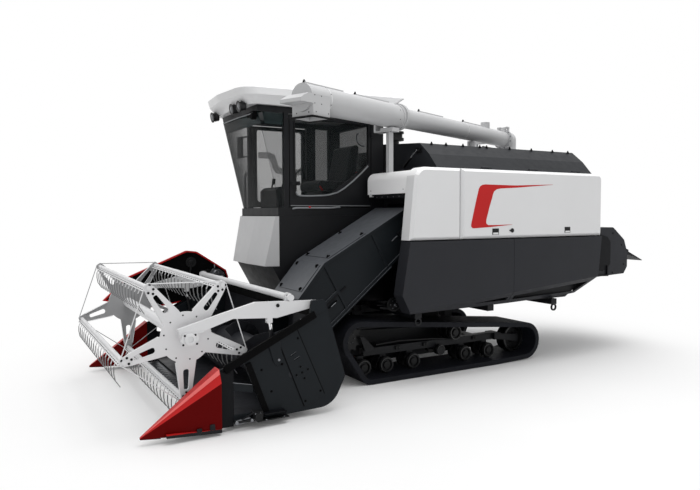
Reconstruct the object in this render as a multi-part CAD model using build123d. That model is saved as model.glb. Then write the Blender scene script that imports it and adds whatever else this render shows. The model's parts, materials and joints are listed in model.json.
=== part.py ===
"""Tracked combine harvester with a cab on the right, a reel header and a swinging unloading auger.

Sizes are in millimetres. +X is forward, +Y is to the machine's left and +Z is up. While the machine
is laid out, X starts where the bands meet the ground in front, Y on the line midway between the
tracks and Z on the ground. The last step moves everything so that the origin is at the middle of
the bottom of the whole machine's box.
"""
import os
from math import atan2, cos, hypot, pi, radians, sin, sqrt

from build123d import *

# Fits: running play of pins, gap between parts that move, gap between seated parts
PIN_PLAY = 0.05
MOVE_GAP = 6
SEAT = 0.3

# Tracks
TRACK_GAUGE = 1200
BAND_WIDTH = 500
BAND_THICK = 50
ROLLER_R = 80
ROLLER_X = (-70, -330, -655, -1330, -1655)
CARRIER_X = -1195
PIVOT_X = -1000
PIVOT_R = 55
PIVOT_RISE = 75
SPROCKET_X = 55
SPROCKET_Z = 420
SPROCKET_R = 140
SPROCKET_TEETH = 12
IDLER_X = -2065
IDLER_Z = 215
IDLER_R = 150
ROLLER_SPAN = 220
ROLLER_DISC = 52
AXLE_R = 22
BEAM_WIDTH = 80
BEAM_LOW = 228
BEAM_HIGH = 300
FORK_THICK = 20

# Chassis
RAIL_Y = 160
RAIL_WIDTH = 80
RAIL_LOW = 580
RAIL_HIGH = 680
RAIL_FRONT = 60
RAIL_REAR = -2600
CROSS_TUBE_X = (-300, -1500)
CROSS_TUBE_LONG = 100
CROSS_MEMBER_X = (-487, -1400, -2320)
CROSS_MEMBER_LONG = 80
CROSS_MEMBER_LOW = 620
FRONT_MEMBER_X = -300
RING_OUTER = 40
RING_HOLE = 24
RING_THICK = 14
RING_DROP = 32

# Transmission and engine
GEARBOX_LONG = 300
GEARBOX_HALF = 115
GEARBOX_DEEP = 240
AXLE_TUBE_R = 78
ENGINE = ((-560, 130), (-690, -130), (RAIL_HIGH, 1270))

# Thresher body, its side covers and the top cover
BODY_FRONT = -660
BODY_REAR = -2950
BODY_LEFT = 950
BODY_RIGHT = -250
BODY_TOP = 2050
BODY_REAR_LOW = 900
BODY_SLOPE_X = -2560
COVER_OUT = 1100
COVER_WALL = 40
COVER_FRONT_LOW = -330
COVER_FRONT_HIGH = -402
COVER_SPLIT = -938
COVER_REAR = -2975
COVER_LOW = 1366
COVER_TOP = 2053
COVER_BEVEL = 28
COVER_OPEN_GAP = 6
SIDE_HINGE = (COVER_OUT - 62, COVER_TOP + 16)
SIDE_HINGE_X = (-1300, -1950, -2600)
KNUCKLE_LONG = 60
PANEL_TOP = 1356
PANEL_SPLIT = -1632
PANEL_FOLD_FRONT = 708
PANEL_FOLD_REAR = 906
PANEL_FOLD_SLOPE = 0.86
PANEL_LOW = RAIL_HIGH
PANEL_NOSE_X = -388
PANEL_TAIL_X = -2925
CAP_FRONT = -800
CAP_REAR = -3050
CAP_BASE_Y = 905
CAP_CREASE = (758, 2212)
CAP_RIDGE = (600, 2336)
CAP_CROWN = (-100, 2385)
CAP_RIGHT = -244

# Hood over the top of the feeder
HOOD_FRONT = -400
HOOD_RIGHT = 215
HOOD_LOW = 1812
HOOD_HIGH = 2030
HOOD_ROUND = 85
HOOD_LEG = 24

# Rear face of the header's back beams, on which the feeder house is bolted
HEADER_BACK_FACE = 680

# Feeder house, header lift
PIVOT = (-440, 1432)
FEEDER_LEFT = 800
FEEDER_RIGHT = 220
FEEDER_TURN_R = 181
FEEDER_BEND = (410, 1170)
FEEDER_NOSE = (HEADER_BACK_FACE - SEAT, 850)
FEEDER_DECK_END = (-505, 1676)
FEEDER_LOW = (385, 544)
FEEDER_LOW_REAR = (-440, 1210)
FEEDER_SHAFT_R = 30
FEEDER_FLANGE = 26
FEEDER_INSET = 14
FEEDER_RIB = (24, 12)
FEEDER_RIB_AT = (0, 575)
FEEDER_LEDGE = (8, 12)
DECK_PLATE = 5
DECK_PLATE_INSIDE = 40
DECK_PLATE_SPAN = (80, 530)
NOSE_PLATE_SPAN = (24, 330)
BRACKET_THICK = 18
BRACKET_HALF = 90

# Header
HEADER_MID = 160
PLATE_OUT = 1220
PLATE_THICK = 20
HEADER_BACK = 700
HEADER_TOP = 860
HEADER_FLOOR = 62
SHEET = 14
TROUGH_R = 268
BEAM_TUBE = 84
HEADER_RIM = 24
CUTTER_X = 1500
POST_FRONT = 1600
POST_REAR = 1492
POST_TOP = 470
POST_LOW = 34
POST_INSIDE = 22
AUGER_X = 1004
AUGER_Z = 362
AUGER_DRUM_R = 150
AUGER_FLIGHT_R = 250
AUGER_PITCH = 400
AUGER_STEPS = 16
FLIGHT_THICK = 6
AUGER_END = 66
FLIGHT_END = 70
STUB_R = 30
GUARD_PITCH = 76.2
GUARD_LONG = 118
KNIFE_TOOTH = 52
DIVIDER_TIP = 2168
DIVIDER_TIP_Z = 60
DIVIDER_OUT = 76
DIVIDER_IN = -76
DIVIDER_TOP = 479
DIVIDER_SHOULDER = 385
DIVIDER_LOW = 26

# Reel and its lift
REEL_X = 1797
REEL_Z = 712
REEL_R = 465
REEL_ARMS = 5
REEL_START = -89
REEL_HUB_R = 190
SPIDER_THICK = 18
SPOKE_ROOT = 78
SPOKE_TIP = 42
REEL_TUBE_R = 48
REEL_AXLE_R = 20
BAR_R = 17
BAR_PIN_R = 9
TINE_PITCH = 120
TINE_WIDTH = 7
TINE_LONG = 205
STRIP_THICK = 3.2
STRIP_REACH = (38, -22)
STAY_R = 4
STAY_SPOT = (22, 18)
ARM_PIVOT = (785, 898)
ARM_HALF = PLATE_OUT - PLATE_THICK - 40
REEL_HALF = ARM_HALF - 70
ARM_THICK = 40
ARM_PIN_R = 13
BEARING_R = 56
LINK_TUBE_X = 990
LINK_TUBE_R = 27
REEL_RAISE = 20

# Cylinders: barrel foot and rod eye in the side view; sizes are barrel radius, rod radius, length
# from the foot pin to the barrel's mouth and width of the eyes
HEADER_RAISE = 18
LIFT_Y = 270
LIFT_FOOT = (-205, 638)
LIFT_EYE = (470, 425)
LIFT_SIZES = (35, 20, 470, 44)
REEL_FOOT = (1115, 483)
REEL_EYE = (1170, 792)
REEL_SIZES = (17, 9, 240, 24)
EYE_PIN_R = 11
EYE_WIDE = 24

# Cab
CAB_LEFT = 150
CAB_RIGHT = -850
CAB_REAR = -650
CAB_SILL = 1600
CAB_FLOOR = 1680
CAB_EAVES = 2610
EAVES_DEEP = 52
CAB_ROOF_LOW = CAB_EAVES + EAVES_DEEP
SIDE_WALL_TOP = CAB_FLOOR + 280
REAR_WALL_TOP = CAB_FLOOR + 380
WINDOW_LOW = CAB_FLOOR + 120
SEAT_BACK = 0.54 * (CAB_EAVES - CAB_FLOOR)
POST = 50
A_POST_X = 455
B_POST_X = -320
B_POST_LONG = 115
REAR_POST_LONG = 150
GLASS_LOW_X = 556
GLASS_HIGH_X = 780
GLASS = 6
ROOF_SKIRT = 82
ROOF_LIP = 66
ROOF_CROWN = 92
ROOF_RISE = 60
ROOF_BULGE = 55
ROOF_MID = CAB_ROOF_LOW + ROOF_SKIRT
ROOF_TOP = ROOF_MID + ROOF_CROWN
ROOF_FRONT = 985
ROOF_REAR = -780
ROOF_TAIL = 120
ROOF_OVER = 78
ROOF_FRONT_LOW = 872
ROOF_CORNER = 170
DOOR_THICK = 40
DOOR_GAP = 10
DOOR_HINGE_R = 11
DOOR_HINGE_Z = (CAB_FLOOR + 160, CAB_EAVES - 190)
MIRROR_REACH = 150
MIRROR_DROP = 350
MIRROR_HIGH = 220
NOSE_TOP = 1594
NOSE_LOW = 1104
NOSE_BACK = 566
BASE_WALL = 30
BASE_LOW = RAIL_HIGH + SEAT
SCREEN_X = (-560, 60)
SCREEN_Z = (820, 1400)
SCREEN_DEEP = 30
SCREEN_RIM = 34
SCREEN_SLATS = 12

# Grain tank, unloading auger
TANK_FRONT = -800
TANK_REAR = -2900
TANK_RIGHT = -1100
TANK_LOW = 1100
TANK_TOP = 2330
RISER_BACK = 195
RISER_X = TANK_REAR - RISER_BACK
RISER_Y = -520
RISER_R = 105
RISER_LOW = 1180
REST_HIGH = 115
TUBE_REAR_R = 100
TUBE_Z = CAP_CROWN[1] + REST_HIGH + TUBE_REAR_R
RISER_TOP = TUBE_Z - 180
TUBE_TURN = 21.7
TUBE_FRONT_R = 120
TUBE_START = 165
TUBE_JOINT = 2680
TUBE_END = 4110
TUBE_REAR_STRIPS = ((836, 1282), (1764, 2270))
TUBE_FRONT_STRIPS = ((2836, 3382), (3560, 4084))
STRIP_HALF = 14
STRIP_HIGH = 12
TUBE_STUB = (686, 57, 62)
TUBE_STRAP = (2706, 14, 9, 5)
FLANGE_OVER = 26
FLANGE_THICK = 16
TUBE_HINGE_RISE = RISER_R + FLANGE_OVER + 16
OUTLET_LONG = 216
OUTLET_BACK = 14
OUTLET_DROP = 164
OUTLET_LOW = TUBE_Z - OUTLET_DROP
OUTLET_PLATE = 150
OUTLET_HOLE = 134
OUTLET_HOLE_R = 5.5
AUGER_CYLINDER_DROP = 120
AUGER_FOOT = (60, TUBE_Z - AUGER_CYLINDER_DROP)
AUGER_EYE = (560, TUBE_Z - AUGER_CYLINDER_DROP)
AUGER_SIDE = -190
AUGER_SIZES = (28, 11, 300, 24)
CRADLE_X = -488
CRADLE_POST = 26
REST_X = RISER_X + 980

# Air intake on the top cover
INTAKE = (-905, 0)
INTAKE_BOWL = CAP_CROWN[1] + 37

# Rear
CHOPPER_REAR = -3560
CHOPPER_TOP = 1450
CHOPPER_LOW = 880
CHOPPER_CREST = 260
CHOPPER_BACK = 60
CHOPPER_BACK_DROP = 150
CHOPPER_FACE = (980, 1150)
TAIL_HINGE = (-3574, 1168)
TAIL_TIP = (-3860, 1046)
TAIL_THICK = 8
TAIL_EAR = 10
TAIL_PIN_R = 8
CHOPPER_LEFT = BODY_LEFT + 50

TRACK_Y = TRACK_GAUGE / 2
ROLLER_Z = BAND_THICK + ROLLER_R + SEAT


def block(x, y, z):
    """Box between two values on each axis."""
    size = (x[1] - x[0], y[1] - y[0], z[1] - z[0])
    return Pos(x[0], y[0], z[0]) * Box(*size, align=(Align.MIN, Align.MIN, Align.MIN))


def closed_wire(points, place):
    """Closed outline through (u, v) or (u, v, radius) points, its corners rounded by the radius."""
    spots = [place(point[0], point[1]) for point in points]
    radii = [point[2] if len(point) > 2 else 0 for point in points]
    if any(radii):
        return Wire(FilletPolyline(*spots, radius=radii, close=True).edges())
    return Wire.make_polygon(spots, close=True)


def slab_y(points, low, high):
    """Plate with an (x, z) outline from one y to another."""
    face = Face(closed_wire(points, lambda x, z: (x, low, z)))
    return Solid.extrude(face, (0, high - low, 0))


def slab_x(points, low, high):
    """Plate with a (y, z) outline from one x to another."""
    face = Face(closed_wire(points, lambda y, z: (low, y, z)))
    return Solid.extrude(face, (high - low, 0, 0))


def slab_z(points, low, high):
    """Plate with an (x, y) outline from one z to another."""
    face = Face(closed_wire(points, lambda x, y: (x, y, low)))
    return Solid.extrude(face, (0, 0, high - low))


def bar(start, end, radius, hole=0):
    """Round bar, or a tube where it has a hole."""
    axis = Vector(*end) - Vector(*start)
    plane = Plane(origin=start, z_dir=axis)
    body = Solid.make_cylinder(radius, axis.length, plane)
    if hole:
        body = body - Solid.make_cylinder(hole, axis.length, plane)
    return body


def disc_y(x, z, low, high, radius, hole=0):
    """Round bar or ring whose axis runs across the machine."""
    return bar((x, low, z), (x, high, z), radius, hole)


def both_sides(shape, middle=0):
    """The shape and its mirror image about the plane at y = middle."""
    return [shape, mirror(shape, about=Plane.XZ.offset(-middle))]


def turned(shape, angle):
    """The shape turned about the riser's upright axis, from straight ahead to the stowed direction."""
    return Pos(RISER_X, RISER_Y, 0) * Rot(0, 0, angle) * shape


def joined(shapes):
    """One solid from several that overlap or share faces."""
    whole = shapes[0]
    for shape in shapes[1:]:
        whole = whole + shape
    return whole


# Track bands run round the sprocket, the idler and the end rollers, as (x, z, radius)
WHEELS = (
    (SPROCKET_X, SPROCKET_Z, SPROCKET_R),
    (IDLER_X, IDLER_Z, IDLER_R),
    (ROLLER_X[-1], ROLLER_Z, ROLLER_R),
    (ROLLER_X[0], ROLLER_Z, ROLLER_R),
)


def run_normal(wheel, other):
    """Outward normal of the straight run between two wheels."""
    away_x = other[0] - wheel[0]
    away_z = other[1] - wheel[1]
    span = hypot(away_x, away_z)
    lean = (wheel[2] - other[2]) / span
    upright = sqrt(1 - lean * lean)
    along = (away_x / span, away_z / span)
    return (lean * along[0] + upright * along[1], lean * along[1] - upright * along[0])


def band_loop(grow, y):
    """Face of the tight loop round the wheels, each grown by the same amount."""
    edges = []
    count = len(WHEELS)
    for i, (x, z, radius) in enumerate(WHEELS):
        before = run_normal(WHEELS[i - 1], WHEELS[i])
        after = run_normal(WHEELS[i], WHEELS[(i + 1) % count])
        start = atan2(before[1], before[0])
        sweep = (atan2(after[1], after[0]) - start) % (2 * pi)
        reach = radius + grow
        arc = [(x + reach * cos(start + t * sweep), y, z + reach * sin(start + t * sweep))
               for t in (0, 0.5, 1)]
        edges.append(Edge.make_three_point_arc(*arc))
        far = WHEELS[(i + 1) % count]
        far_reach = far[2] + grow
        end = (far[0] + far_reach * after[0], y, far[1] + far_reach * after[1])
        edges.append(Edge.make_line(arc[2], end))
    return Face(Wire(edges))


def track():
    """Rubber band of one track."""
    low = TRACK_Y - BAND_WIDTH / 2
    outer = Solid.extrude(band_loop(SEAT + BAND_THICK, low), (0, BAND_WIDTH, 0))
    inner = Solid.extrude(band_loop(SEAT, low), (0, BAND_WIDTH, 0))
    return outer - inner


def carrier_z():
    """Height at which the carrier roller touches the top run from below."""
    normal = run_normal(WHEELS[0], WHEELS[1])
    reach = SPROCKET_R - ROLLER_R
    return SPROCKET_Z + (reach - normal[0] * (CARRIER_X - SPROCKET_X)) / normal[1]


def roller(x, z, radius):
    """Two dished discs on one axle."""
    half = ROLLER_SPAN / 2
    inner = half - ROLLER_DISC
    rim = 0.86 * radius
    side = [
        (inner, AXLE_R), (inner, radius), (half - 12, radius), (half - 12, rim), (half, rim),
        (half, rim - 12), (half - 16, rim - 18), (half - 16, AXLE_R + 16), (half, AXLE_R + 12), (half, 0),
    ]
    outline = side + [(-y, r) for y, r in reversed(side)]
    face = Face(Wire.make_polygon([(x + r, TRACK_Y + y, z) for y, r in outline], close=True))
    return Solid.revolve(face, 360, Axis((x, 0, z), (0, 1, 0)))


def sprocket():
    """Toothed drive wheel with its hub."""
    half = 30
    low = TRACK_Y - half
    points = []
    root = SPROCKET_R - 24
    for i in range(SPROCKET_TEETH):
        for share, radius in ((-0.3, root), (-0.14, SPROCKET_R), (0.14, SPROCKET_R), (0.3, root)):
            angle = 2 * pi * (i + share) / SPROCKET_TEETH
            points.append((SPROCKET_X + radius * cos(angle), SPROCKET_Z + radius * sin(angle)))
    wheel = slab_y(points, low, low + 2 * half)
    hub = disc_y(SPROCKET_X, SPROCKET_Z, low - 20, low + 2 * half + 26, 62)
    return wheel + hub


def idler():
    """Plain rear wheel, dished on both sides."""
    half = 58
    rim = IDLER_R - 26
    side = [(half, IDLER_R), (half, rim), (half - 34, rim - 12), (half - 34, 50), (half, 44), (half, 0)]
    outline = [(-y, r) for y, r in reversed(side)] + side
    face = Face(Wire.make_polygon([(IDLER_X + r, TRACK_Y + y, IDLER_Z) for y, r in outline],
                                  close=True))
    return Solid.revolve(face, 360, Axis((IDLER_X, 0, IDLER_Z), (0, 1, 0)))


def track_rollers():
    wheels = [roller(x, ROLLER_Z, ROLLER_R) for x in ROLLER_X]
    wheels.append(roller(CARRIER_X, carrier_z(), ROLLER_R))
    wheels.append(roller(PIVOT_X, ROLLER_Z + PIVOT_RISE, PIVOT_R))
    wheels += [sprocket(), idler()]
    return [half for wheel in wheels for half in both_sides(wheel)]


def axle_bracket(x, z):
    """Plate from the beam to an axle, between a roller's two discs."""
    half = BEAM_WIDTH / 2 - 12
    foot = 34
    edge = BEAM_LOW + 4 if z < BEAM_LOW else BEAM_HIGH - 4
    plate = block((x - foot, x + foot), (TRACK_Y - half, TRACK_Y + half), sorted((z, edge)))
    plate = plate + disc_y(x, z, TRACK_Y - half, TRACK_Y + half, foot)
    return plate - disc_y(x, z, TRACK_Y - half, TRACK_Y + half, AXLE_R + PIN_PLAY)


def track_frame():
    """Beam with the roller brackets, the idler's fork and the front gusset."""
    half = BEAM_WIDTH / 2
    fork_in = 58 + SEAT
    front = ROLLER_X[0] - 30
    rear = IDLER_X + IDLER_R + 60
    beam = block((rear, front), (TRACK_Y - half, TRACK_Y + half), (BEAM_LOW, BEAM_HIGH))
    parts = [beam]
    parts += [axle_bracket(x, ROLLER_Z) for x in ROLLER_X]
    parts.append(axle_bracket(CARRIER_X, carrier_z()))
    yoke = block((rear, rear + 90), (TRACK_Y - fork_in - FORK_THICK, TRACK_Y + fork_in + FORK_THICK),
                 (BEAM_LOW, BEAM_HIGH))
    parts.append(yoke)
    for low in (TRACK_Y - fork_in - FORK_THICK, TRACK_Y + fork_in):
        arm = slab_y([(rear + 60, BEAM_HIGH - 6), (IDLER_X - 42, IDLER_Z + 42),
                      (IDLER_X - 42, IDLER_Z - 42), (rear + 60, BEAM_LOW + 6)], low, low + FORK_THICK)
        parts.append(arm)
    out = TRACK_Y + 60
    parts.append(slab_y([(front - 130, BEAM_HIGH - 20), (front, BEAM_HIGH - 20),
                         (front + 60, BEAM_HIGH + 130), (front + 20, BEAM_HIGH + 130)], out, out + 16))
    parts.append(block((front - 130, front), (TRACK_Y + half - 4, out + 8),
                       (BEAM_HIGH - 20, BEAM_HIGH - 4)))
    pivot_z = ROLLER_Z + PIVOT_RISE
    whole = joined(parts)
    return whole - disc_y(PIVOT_X, pivot_z, TRACK_Y - half, TRACK_Y + half, AXLE_R + PIN_PLAY)


def tie_ring(x, y):
    """Flat ring that hangs below a cross member's end."""
    z = CROSS_MEMBER_LOW - RING_DROP
    ring = disc_y(x, z, y, y + RING_THICK, RING_OUTER)
    neck = block((x - 16, x + 16), (y, y + RING_THICK), (z + RING_HOLE + 6, CROSS_MEMBER_LOW + 4))
    return ring + neck - disc_y(x, z, y, y + RING_THICK, RING_HOLE)


def chassis_frame():
    rail_in = RAIL_Y - RAIL_WIDTH / 2
    rail_out = RAIL_Y + RAIL_WIDTH / 2
    beam_in = TRACK_Y - BEAM_WIDTH / 2
    parts = []
    for rail in both_sides(block((RAIL_REAR, RAIL_FRONT), (rail_in, rail_out), (RAIL_LOW, RAIL_HIGH))):
        parts.append(rail)
    for x in CROSS_TUBE_X:
        span = (x - CROSS_TUBE_LONG / 2, x + CROSS_TUBE_LONG / 2)
        parts.append(block(span, (-beam_in, beam_in), (BEAM_LOW, BEAM_HIGH)))
        parts += both_sides(block(span, (rail_in, rail_out), (BEAM_HIGH - 5, RAIL_LOW + 5)))
    for x in CROSS_MEMBER_X:
        span = (x - CROSS_MEMBER_LONG / 2, x + CROSS_MEMBER_LONG / 2)
        parts.append(block(span, (TANK_RIGHT + 90, BODY_LEFT + 60), (CROSS_MEMBER_LOW, RAIL_HIGH)))
    front = (FRONT_MEMBER_X - CROSS_MEMBER_LONG / 2, FRONT_MEMBER_X + CROSS_MEMBER_LONG / 2)
    parts.append(block(front, (CAB_RIGHT + 40, LIFT_Y + 60), (CROSS_MEMBER_LOW, RAIL_HIGH)))
    for y in (BODY_LEFT + 60 - RING_THICK, TANK_RIGHT + 90):
        parts += [tie_ring(x, y) for x in (CROSS_MEMBER_X[0], CROSS_MEMBER_X[-1])]
    ear_in = LIFT_SIZES[3] / 2 + 1
    for low in (LIFT_Y - ear_in - 14, LIFT_Y + ear_in):
        ear = slab_y([(front[1] - 5, CROSS_MEMBER_LOW), (front[1] - 5, RAIL_HIGH),
                      (LIFT_FOOT[0] + 20, RAIL_HIGH), (LIFT_FOOT[0] + 20, CROSS_MEMBER_LOW)], low, low + 14)
        parts.append(ear)
    whole = joined(parts)
    return whole + disc_y(*LIFT_FOOT, LIFT_Y - ear_in - 4, LIFT_Y + ear_in + 4, EYE_PIN_R)


def transmission():
    """Gearbox between the rails with an axle tube to each sprocket."""
    half = GEARBOX_LONG / 2
    top = RAIL_LOW
    case = slab_y([(SPROCKET_X - half, top), (SPROCKET_X - half, top - GEARBOX_DEEP, 60),
                   (SPROCKET_X + half, top - GEARBOX_DEEP, 60), (SPROCKET_X + half, top - 70),
                   (SPROCKET_X + half - 60, top)], -GEARBOX_HALF, GEARBOX_HALF)
    tube_end = TRACK_Y - 30 - 20 - SEAT
    tube = disc_y(SPROCKET_X, SPROCKET_Z, -tube_end, tube_end, AXLE_TUBE_R)
    ears = [block((SPROCKET_X - half + 20, min(SPROCKET_X, RAIL_FRONT) - 6), (y, y + 60), (top - 40, top))
            for y in (GEARBOX_HALF - 10, -GEARBOX_HALF - 50)]
    return joined([case, tube] + ears)


def engine_block():
    return block(*ENGINE)


def pan(outline, wall, low, high):
    """Cover with an outline in the side view, hollow from its inner side."""
    plate = slab_y(outline, low, high)
    inner = offset(Face(closed_wire(outline, lambda x, z: (x, low, z))), -wall)
    return plate - Solid.extrude(inner.faces()[0], (0, high - low - wall, 0))


def thresher_body():
    side = [(BODY_FRONT, BODY_TOP), (BODY_FRONT, RAIL_HIGH), (BODY_SLOPE_X, RAIL_HIGH),
            (BODY_REAR, BODY_REAR_LOW), (BODY_REAR, BODY_TOP)]
    body = slab_y(side, BODY_RIGHT, BODY_LEFT)
    mouth = block((BODY_FRONT - 120, BODY_FRONT), (FEEDER_RIGHT - 5, FEEDER_LEFT + 5), (1180, 1720))
    body = joined([body - mouth] + side_hinge(-KNUCKLE_LONG, CAP_BASE_Y + 10))
    shaft_x, shaft_z = PIVOT
    for low in (FEEDER_LEFT + MOVE_GAP, FEEDER_RIGHT - MOVE_GAP - BRACKET_THICK):
        ear = slab_y([(BODY_FRONT - 4, shaft_z + BRACKET_HALF), (shaft_x, shaft_z + BRACKET_HALF * 0.6),
                      (shaft_x + 60, shaft_z), (shaft_x, shaft_z - BRACKET_HALF * 0.6),
                      (BODY_FRONT - 4, shaft_z - BRACKET_HALF)], low, low + BRACKET_THICK)
        body = body + (ear - disc_y(shaft_x, shaft_z, low, low + BRACKET_THICK, FEEDER_SHAFT_R + PIN_PLAY))
    return body


def cover_outline(front_low, front_high, rear, low, top, rounds):
    """Side-view outline of an upper cover, from its lower front corner round to its lower rear."""
    return [(front_low, low), (front_high, top, rounds[0]), (rear, top, rounds[1]), (rear, low)]


def front_side_cover():
    outline = cover_outline(COVER_FRONT_LOW, COVER_FRONT_HIGH, COVER_SPLIT + COVER_OPEN_GAP / 2, COVER_LOW,
                            COVER_TOP, (120, 0))
    return bevelled(pan(outline, COVER_WALL, BODY_LEFT + SEAT, COVER_OUT))


def bevelled(shape):
    """Bevel round the outer face of a side cover."""
    edges = shape.edges().filter_by_position(Axis.Y, COVER_OUT - 0.01, COVER_OUT + 0.01)
    return chamfer(edges, COVER_BEVEL)


def side_cover():
    outline = cover_outline(COVER_SPLIT - COVER_OPEN_GAP / 2, COVER_SPLIT - COVER_OPEN_GAP / 2, COVER_REAR,
                            COVER_LOW, COVER_TOP, (0, 70))
    cover = bevelled(pan(outline, COVER_WALL, BODY_LEFT + 2 * MOVE_GAP, COVER_OUT))
    return joined([cover] + side_hinge(SEAT, COVER_OUT - 90))


def side_hinge(start, reach):
    """Knuckles of the top hinge with the leaf that joins them to one part."""
    knuckles = []
    y, z = SIDE_HINGE
    for x in SIDE_HINGE_X:
        span = (x + start, x + start + KNUCKLE_LONG)
        knuckles.append(bar((span[0], y, z), (span[1], y, z), 12))
        knuckles.append(block(span, (reach, y), (z - 12, z - 4)))
        knuckles.append(block(span, (reach, reach + 10), (COVER_TOP - 30, z - 4)))
    return knuckles


def lower_side_panels():
    """Two dark panels below the white covers, their lower edge folded inwards."""
    pieces = []
    lean = (PANEL_FOLD_REAR - PANEL_FOLD_FRONT) / (PANEL_TAIL_X - PANEL_NOSE_X)
    front = [(COVER_FRONT_LOW, PANEL_TOP), (PANEL_NOSE_X + 145, PANEL_FOLD_FRONT + 150),
             (PANEL_NOSE_X + 50, PANEL_LOW), (PANEL_SPLIT + 2, PANEL_LOW), (PANEL_SPLIT + 2, PANEL_TOP)]
    rear = [(PANEL_SPLIT - 2, PANEL_TOP), (PANEL_SPLIT - 2, PANEL_LOW),
            (BODY_SLOPE_X - 130, PANEL_LOW + 20),
            (PANEL_TAIL_X, PANEL_FOLD_REAR), (COVER_REAR, PANEL_TOP)]
    along = Vector(1, 0, lean)
    fold = Plane(origin=(PANEL_NOSE_X, COVER_OUT, PANEL_FOLD_FRONT), x_dir=along,
                 z_dir=along.cross(Vector(0, PANEL_FOLD_SLOPE, 1)))
    for outline in (front, rear):
        pieces.append(pan(outline, COVER_WALL, BODY_LEFT + SEAT, COVER_OUT).split(fold))
    return pieces


def top_cover():
    """Ridged cover over the thresher and the inner edge of the grain tank."""
    outline = [(CAP_BASE_Y, BODY_TOP + SEAT), CAP_CREASE, CAP_RIDGE, CAP_CROWN,
               (CAP_RIGHT, TANK_TOP + 30), (CAP_RIGHT, BODY_TOP + SEAT)]
    return slab_x(outline, CAP_REAR, CAP_FRONT)


def feeder_hood():
    outline = [(HOOD_FRONT, HOOD_LOW), (HOOD_FRONT, HOOD_HIGH, HOOD_ROUND),
               (BODY_FRONT + SEAT, HOOD_HIGH + 8), (BODY_FRONT + SEAT, HOOD_LOW)]
    hood = slab_y(outline, HOOD_RIGHT, BODY_LEFT)
    end = hood.faces().sort_by(Axis.Y)[0]
    hood = fillet(end.edges().filter_by_position(Axis.Z, HOOD_LOW + 1, HOOD_HIGH + 20), 30)
    leg = block((HOOD_FRONT - 52, HOOD_FRONT - 12), (HOOD_RIGHT + 34, HOOD_RIGHT + 60),
                (HOOD_LOW - HOOD_LEG, HOOD_LOW + 5))
    return hood + leg


def feeder_outline():
    """Side view of the feeder house, its rear end turned about the lift pivot."""
    x, z = PIVOT
    back = x - FEEDER_TURN_R
    return [FEEDER_BEND, FEEDER_NOSE, (FEEDER_NOSE[0], 392), FEEDER_LOW, FEEDER_LOW_REAR,
            (back, z - 60), (back, z + 70), FEEDER_DECK_END]


def feeder_spot(corner, target, along, out):
    """Point at a distance along an edge of the feeder's side view, then at a right angle to it."""
    span = hypot(target[0] - corner[0], target[1] - corner[1])
    u, w = (target[0] - corner[0]) / span, (target[1] - corner[1]) / span
    return (corner[0] + u * along + w * out, corner[1] + w * along - u * out)


def feeder_trim():
    """Side-view outlines of the ribs, the ledge along the bottom and the two plates on the deck."""
    half = FEEDER_RIB[0] / 2
    ribs = []
    for at in FEEDER_RIB_AT:
        ribs.append([feeder_spot(FEEDER_BEND, FEEDER_DECK_END, at + side * half, out)
                     for side, out in ((-1, -4), (1, -4), (1, -800), (-1, -800))])
    start = feeder_spot(FEEDER_BEND, FEEDER_DECK_END, 0, -300)
    end = (start[0] + 400, start[1] - 320)
    ribs.append([feeder_spot(start, end, along, out) for along,
                 out in ((0, half), (510, half), (510, -half),
                                                                        (0, -half))])
    ledge = [feeder_spot(FEEDER_LOW, FEEDER_LOW_REAR, along, out)
             for along, out in ((0, 0), (900, 0), (900, -FEEDER_LEDGE[0]), (0, -FEEDER_LEDGE[0]))]
    plates = []
    for target, span, side in ((FEEDER_DECK_END, DECK_PLATE_SPAN, 1), (FEEDER_NOSE, NOSE_PLATE_SPAN, -1)):
        plates.append([feeder_spot(FEEDER_BEND, target, along, side * out)
                       for along, out in ((span[0], -2), (span[1], -2), (span[1], DECK_PLATE),
                                          (span[0], DECK_PLATE))])
    return ribs, ledge, plates


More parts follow.
